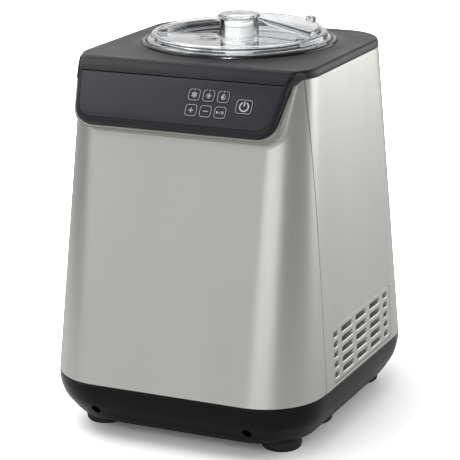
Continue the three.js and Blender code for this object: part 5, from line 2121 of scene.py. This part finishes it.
@dataclass
class Churn:
    """What turns and holds the mix: the bowl, the cup that it stands in, and the paddle."""

    finishes: Finishes
    bowl_profile: Pairs = (
        (6.2, 191.0), (62.0, 191.0), (67.0, 193.0), (69.0, 198.0), (69.0, 318.8), (76.4, 318.8), (76.4, 320.6),
        (67.2, 320.6), (67.2, 199.0), (61.0, 193.0), (8.5, 193.0), (8.5, 231.0), (6.2, 231.0))
    cup_profile: Pairs = (
        (12.3, 186.0), (65.0, 186.0), (71.5, 193.0), (71.5, 316.9), (76.4, 316.9), (76.4, 318.4), (70.0, 318.4),
        (70.0, 194.0), (64.0, 187.5), (12.3, 187.5))
    hub_profile: Pairs = (
        (9.0, 195.0), (13.5, 195.0), (13.5, 262.0), (13.0, 264.0), (12.6, 336.0), (13.5, 337.0), (13.5, 340.0),
        (11.0, 340.0), (11.0, 252.0), (0.0, 252.0), (0.0, 236.5), (9.0, 236.5))

    def bowl(self) -> Piece:
        """Builds the spun bowl with its rolled rim and the hollow stem in its middle."""
        return solid_of_revolution("spun_bowl", self.bowl_profile, 1.6, 144, *BOWL_AXIS)

    def cup(self) -> Piece:
        """Builds the cooled cup round the bowl."""
        return solid_of_revolution("cooled_cup", self.cup_profile, 1.2, 144, *BOWL_AXIS)

    def bar(
        self,
        shell: Shell,
        start: Pair,
        end: Pair,
        half: float,
        low: Pair,
        high: Pair,
        turn: float,
    ) -> None:
        """Adds a paddle bar: a rounded slab from start to end whose bottom and top heights change along it.

        Args:
            shell: the shell to add to.
            start: where it starts, out from the axis and sideways.
            end: where it ends.
            half: half of its thickness.
            low: its bottom height at the start and the end.
            high: its top height at the start and the end.
            turn: the angle of the arm, in radians.
        """
        share = np.linspace(0.0, 1.0, 14)
        section = outline(slab_corners(1.0, 1.0, 0.5), 4, 3)
        taper = 1.0 - 0.35 * np.abs(2.0 * share - 1.0) ** 8
        out = start[0] + (end[0] - start[0]) * share
        aside = start[1] + (end[1] - start[1]) * share
        bottom = low[0] + (low[1] - low[0]) * share
        top = high[0] + (high[1] - high[0]) * share
        side = aside[:, None] + section[None, :, 0] * half * taper[:, None]
        height = (bottom + top)[:, None] / 2.0 + section[None, :, 1] * ((top - bottom) / 2.0 * taper)[:, None]
        shell.tube(about_bowl(out[:, None], side, height, turn))

    def paddle(self) -> Piece:
        """Builds the paddle: its hollow hub, and two arms of scraper, blade and stays.

        Returns:
            The paddle.
        """
        shell = Shell()
        path = soften(self.hub_profile, 0.6)
        shell.grid(turned(path, 72, *BOWL_AXIS), around=True, along=True)
        for turn in (0.35, 0.35 + math.pi):
            self.bar(shell, (12.4, 0.0), (65.5, 0.0), 3.0, (199.0, 199.0), (209.0, 206.0), turn)
            self.bar(shell, (53.5, 2.6), (65.3, 3.2), 2.0, (200.0, 200.0), (296.0, 296.0), turn)
            self.bar(shell, (12.4, 0.0), (61.5, 3.0), 2.0, (262.0, 264.0), (272.0, 270.0), turn)
            self.bar(shell, (22.0, 0.0), (32.0, 0.4), 2.0, (207.0, 207.0), (264.0, 264.0), turn)
        return shell.make("mixing_paddle")

    def build(self) -> None:
        """Builds and dresses the bowl, the cup and the paddle."""
        # The bowl and the cup take the aluminium finish whose darkened base colour is painted shade.
        self.finishes.dress(self.bowl(), "bowl_aluminium", "bowl", "bowl")
        self.finishes.dress(self.cup(), "bowl_aluminium", "housing", "evaporator_cup")
        self.finishes.dress(self.paddle(), "white_plastic", "paddle", "paddle")


# ---------------------------------------------------------------- carried-over parts and studio


@dataclass
class InnerParts:
    """The CAD nodes that stay as they are: each takes its slot's finish."""

    finishes: Finishes

    def build(self) -> None:
        """Paints every CAD node that is still shown."""
        slots = {part["node"]: part["material_slot"] for part in frame["record"]["subparts"]}
        for name, node in sorted(frame["nodes"].items()):
            if not node.hide_render:
                self.finishes.paint(node, slots[name])
                LOG.info("%s: carried over in slot %s", name, slots[name])


@dataclass
class Studio:
    """The pale floor, the soft lights and the camera."""

    azimuth: float = 25.16
    elevation: float = 15.79
    roll: float = -0.71
    distance: float = 1751.0
    target: Triple = (0.0, 0.0, 165.0)
    lens: float = 155.9
    shift: Pair = (-0.0041, -0.0173)
    fill: float = 0.31
    through: float = 0.38
    backdrop: float = 1.6
    boxes: tuple[tuple[str, float, float, float, Pair, float], ...] = (
        ("front_box", -38.0, 14.0, 2.0, (1.4, 1.8), 5.0),
        ("key_box", 11.0, 12.0, 1.9, (1.45, 1.9), 11.3),
        ("rear_right_box", 136.0, 8.0, 2.2, (2.2, 1.4), 22.5),
        ("rear_box", 214.0, 22.0, 2.4, (3.0, 2.2), 16.0),
        ("top_box", 0.0, 78.0, 1.8, (1.2, 1.2), 5.0),
        ("left_high_box", -75.0, 48.0, 0.8, (0.5, 0.5), 2.6),
    )
    spot_power: float = 95.0
    spot_angle: float = 4.0
    spot_aim: Triple = (0.0, 0.0198, 0.333)
    spot_offset: Triple = (0.2, -1.04, 0.55)

    def floor(self) -> None:
        """Builds the floor, one wide sheet that curves up far behind the object."""
        across = np.linspace(-6000.0, 6000.0, 25)
        t = np.linspace(0.0, 1.0, 25)
        flat = np.linspace(-5000.0, 3000.0, 20)[:-1]
        deep = np.concatenate([flat, 3000.0 + 2000.0 * np.sin(t * math.pi / 2.0)])
        height = np.concatenate([np.zeros(19), 2000.0 * (1.0 - np.cos(t * math.pi / 2.0))])
        x, y = np.meshgrid(across, deep)
        z = np.broadcast_to(height[:, None], x.shape)
        shell = Shell()
        shell.grid(np.stack([x, y, z], axis=-1))
        sheet = outward(shell.make("studio_floor", closed=False), (0.0, 0.0, -4000.0))
        paper = Finish("pale_paper", (0.86, 0.86, 0.86), roughness=0.8, scale=60.0, bump=0.0, tone=0.01,
                       wear=0.0, marks=0.0, worn=(0.86, 0.86, 0.86))
        sheet.data.materials.append(paper.material())
        sheet.is_shadow_catcher = True

    def spot(self) -> None:
        """Adds the narrow lamp on the tower of the lid."""
        data = bpy.data.lights.new("tower_spot", "SPOT")
        data.energy = self.spot_power
        data.spot_size = math.radians(self.spot_angle)
        data.spot_blend = 0.6
        data.shadow_soft_size = 0.05
        lamp = bpy.data.objects.new("tower_spot", data)
        aim = Vector(self.spot_aim)
        lamp.location = aim + Vector(self.spot_offset)
        lamp.rotation_euler = (aim - lamp.location).to_track_quat("-Z", "Y").to_euler()
        bpy.context.scene.collection.objects.link(lamp)

    @staticmethod
    def toward(azimuth: float, elevation: float) -> Array:
        """Works out the unit vector from the object toward a place.

        Args:
            azimuth: the place's angle round from the front, in degrees.
            elevation: its angle up, in degrees.

        Returns:
            The unit vector.
        """
        turn = math.radians(azimuth)
        rise = math.radians(elevation)
        return np.array([math.sin(turn) * math.cos(rise), -math.cos(turn) * math.cos(rise), math.sin(rise)])

    def light(self, name: str, place: Array, size: Pair, power: float) -> None:
        """Adds one rectangular soft light that faces the camera's target.

        Args:
            name: the light's name.
            place: where it stands, in metres.
            size: its width and height, in metres.
            power: its power in watts.
        """
        data = bpy.data.lights.new(name, "AREA")
        data.shape = "RECTANGLE"
        data.size, data.size_y = size
        data.energy = power
        lamp = bpy.data.objects.new(name, data)
        lamp.location = place
        aim = Vector(self.target) * MM
        lamp.rotation_euler = (aim - Vector(place)).to_track_quat("-Z", "Y").to_euler()
        bpy.context.scene.collection.objects.link(lamp)

    def lights(self) -> None:
        """Lights the room evenly, brighter where it is seen directly, and adds the large soft lights."""
        world = bpy.data.worlds.new("studio_room")
        world.use_nodes = True
        nodes = Nodes(world.node_tree)
        path = nodes.add("ShaderNodeLightPath")
        through = nodes.ramp(path.outputs["Is Transmission Ray"], 0.0, 1.0, self.fill, self.through)
        direct = nodes.math("MULTIPLY", path.outputs["Is Camera Ray"], self.backdrop)
        strength = nodes.math("MAXIMUM", through, direct)
        background = world.node_tree.nodes["Background"]
        background.inputs["Color"].default_value = (1.0, 1.0, 1.0, 1.0)
        world.node_tree.links.new(strength, background.inputs["Strength"])
        bpy.context.scene.world = world
        for name, azimuth, elevation, distance, size, power in self.boxes:
            place = np.array(self.target) * MM + self.toward(azimuth, elevation) * distance
            self.light(name, place, size, power)
        self.spot()

    def camera(self) -> None:
        """Places the camera on its sight line, with its lens, roll and small shift."""
        target = Vector(self.target) * MM
        away = Vector(self.toward(self.azimuth, self.elevation))
        data = bpy.data.cameras.new("view")
        data.lens = self.lens
        data.sensor_width = 36.0
        data.shift_x, data.shift_y = self.shift
        data.clip_end = 50.0
        data.dof.use_dof = False
        seen = bpy.data.objects.new("view", data)
        turn = (-away).to_track_quat("-Z", "Y").to_matrix() @ Matrix.Rotation(math.radians(self.roll), 3, "Z")
        seen.matrix_world = Matrix.Translation(target + away * self.distance * MM) @ turn.to_4x4()
        bpy.context.scene.collection.objects.link(seen)
        bpy.context.scene.camera = seen
        bpy.context.scene.view_settings.view_transform = "Standard"

    def build(self) -> None:
        """Builds the camera, the floor and the lights."""
        self.camera()
        self.floor()
        self.lights()


def main() -> None:
    """Builds the machine from the outside in, then the studio."""
    logging.basicConfig(level=logging.INFO, format="%(message)s")
    Studio().build()
    finishes = Finishes()
    cover = TopCover(finishes)
    parts = [Casing(finishes), cover, OpeningRing(finishes), ControlPanel(finishes, cover), Base(finishes),
             Lid(finishes), Churn(finishes), InnerParts(finishes)]
    for part in parts:
        part.build()
        LOG.info("%s built", type(part).__name__)


if __name__ == "__main__":
    main()
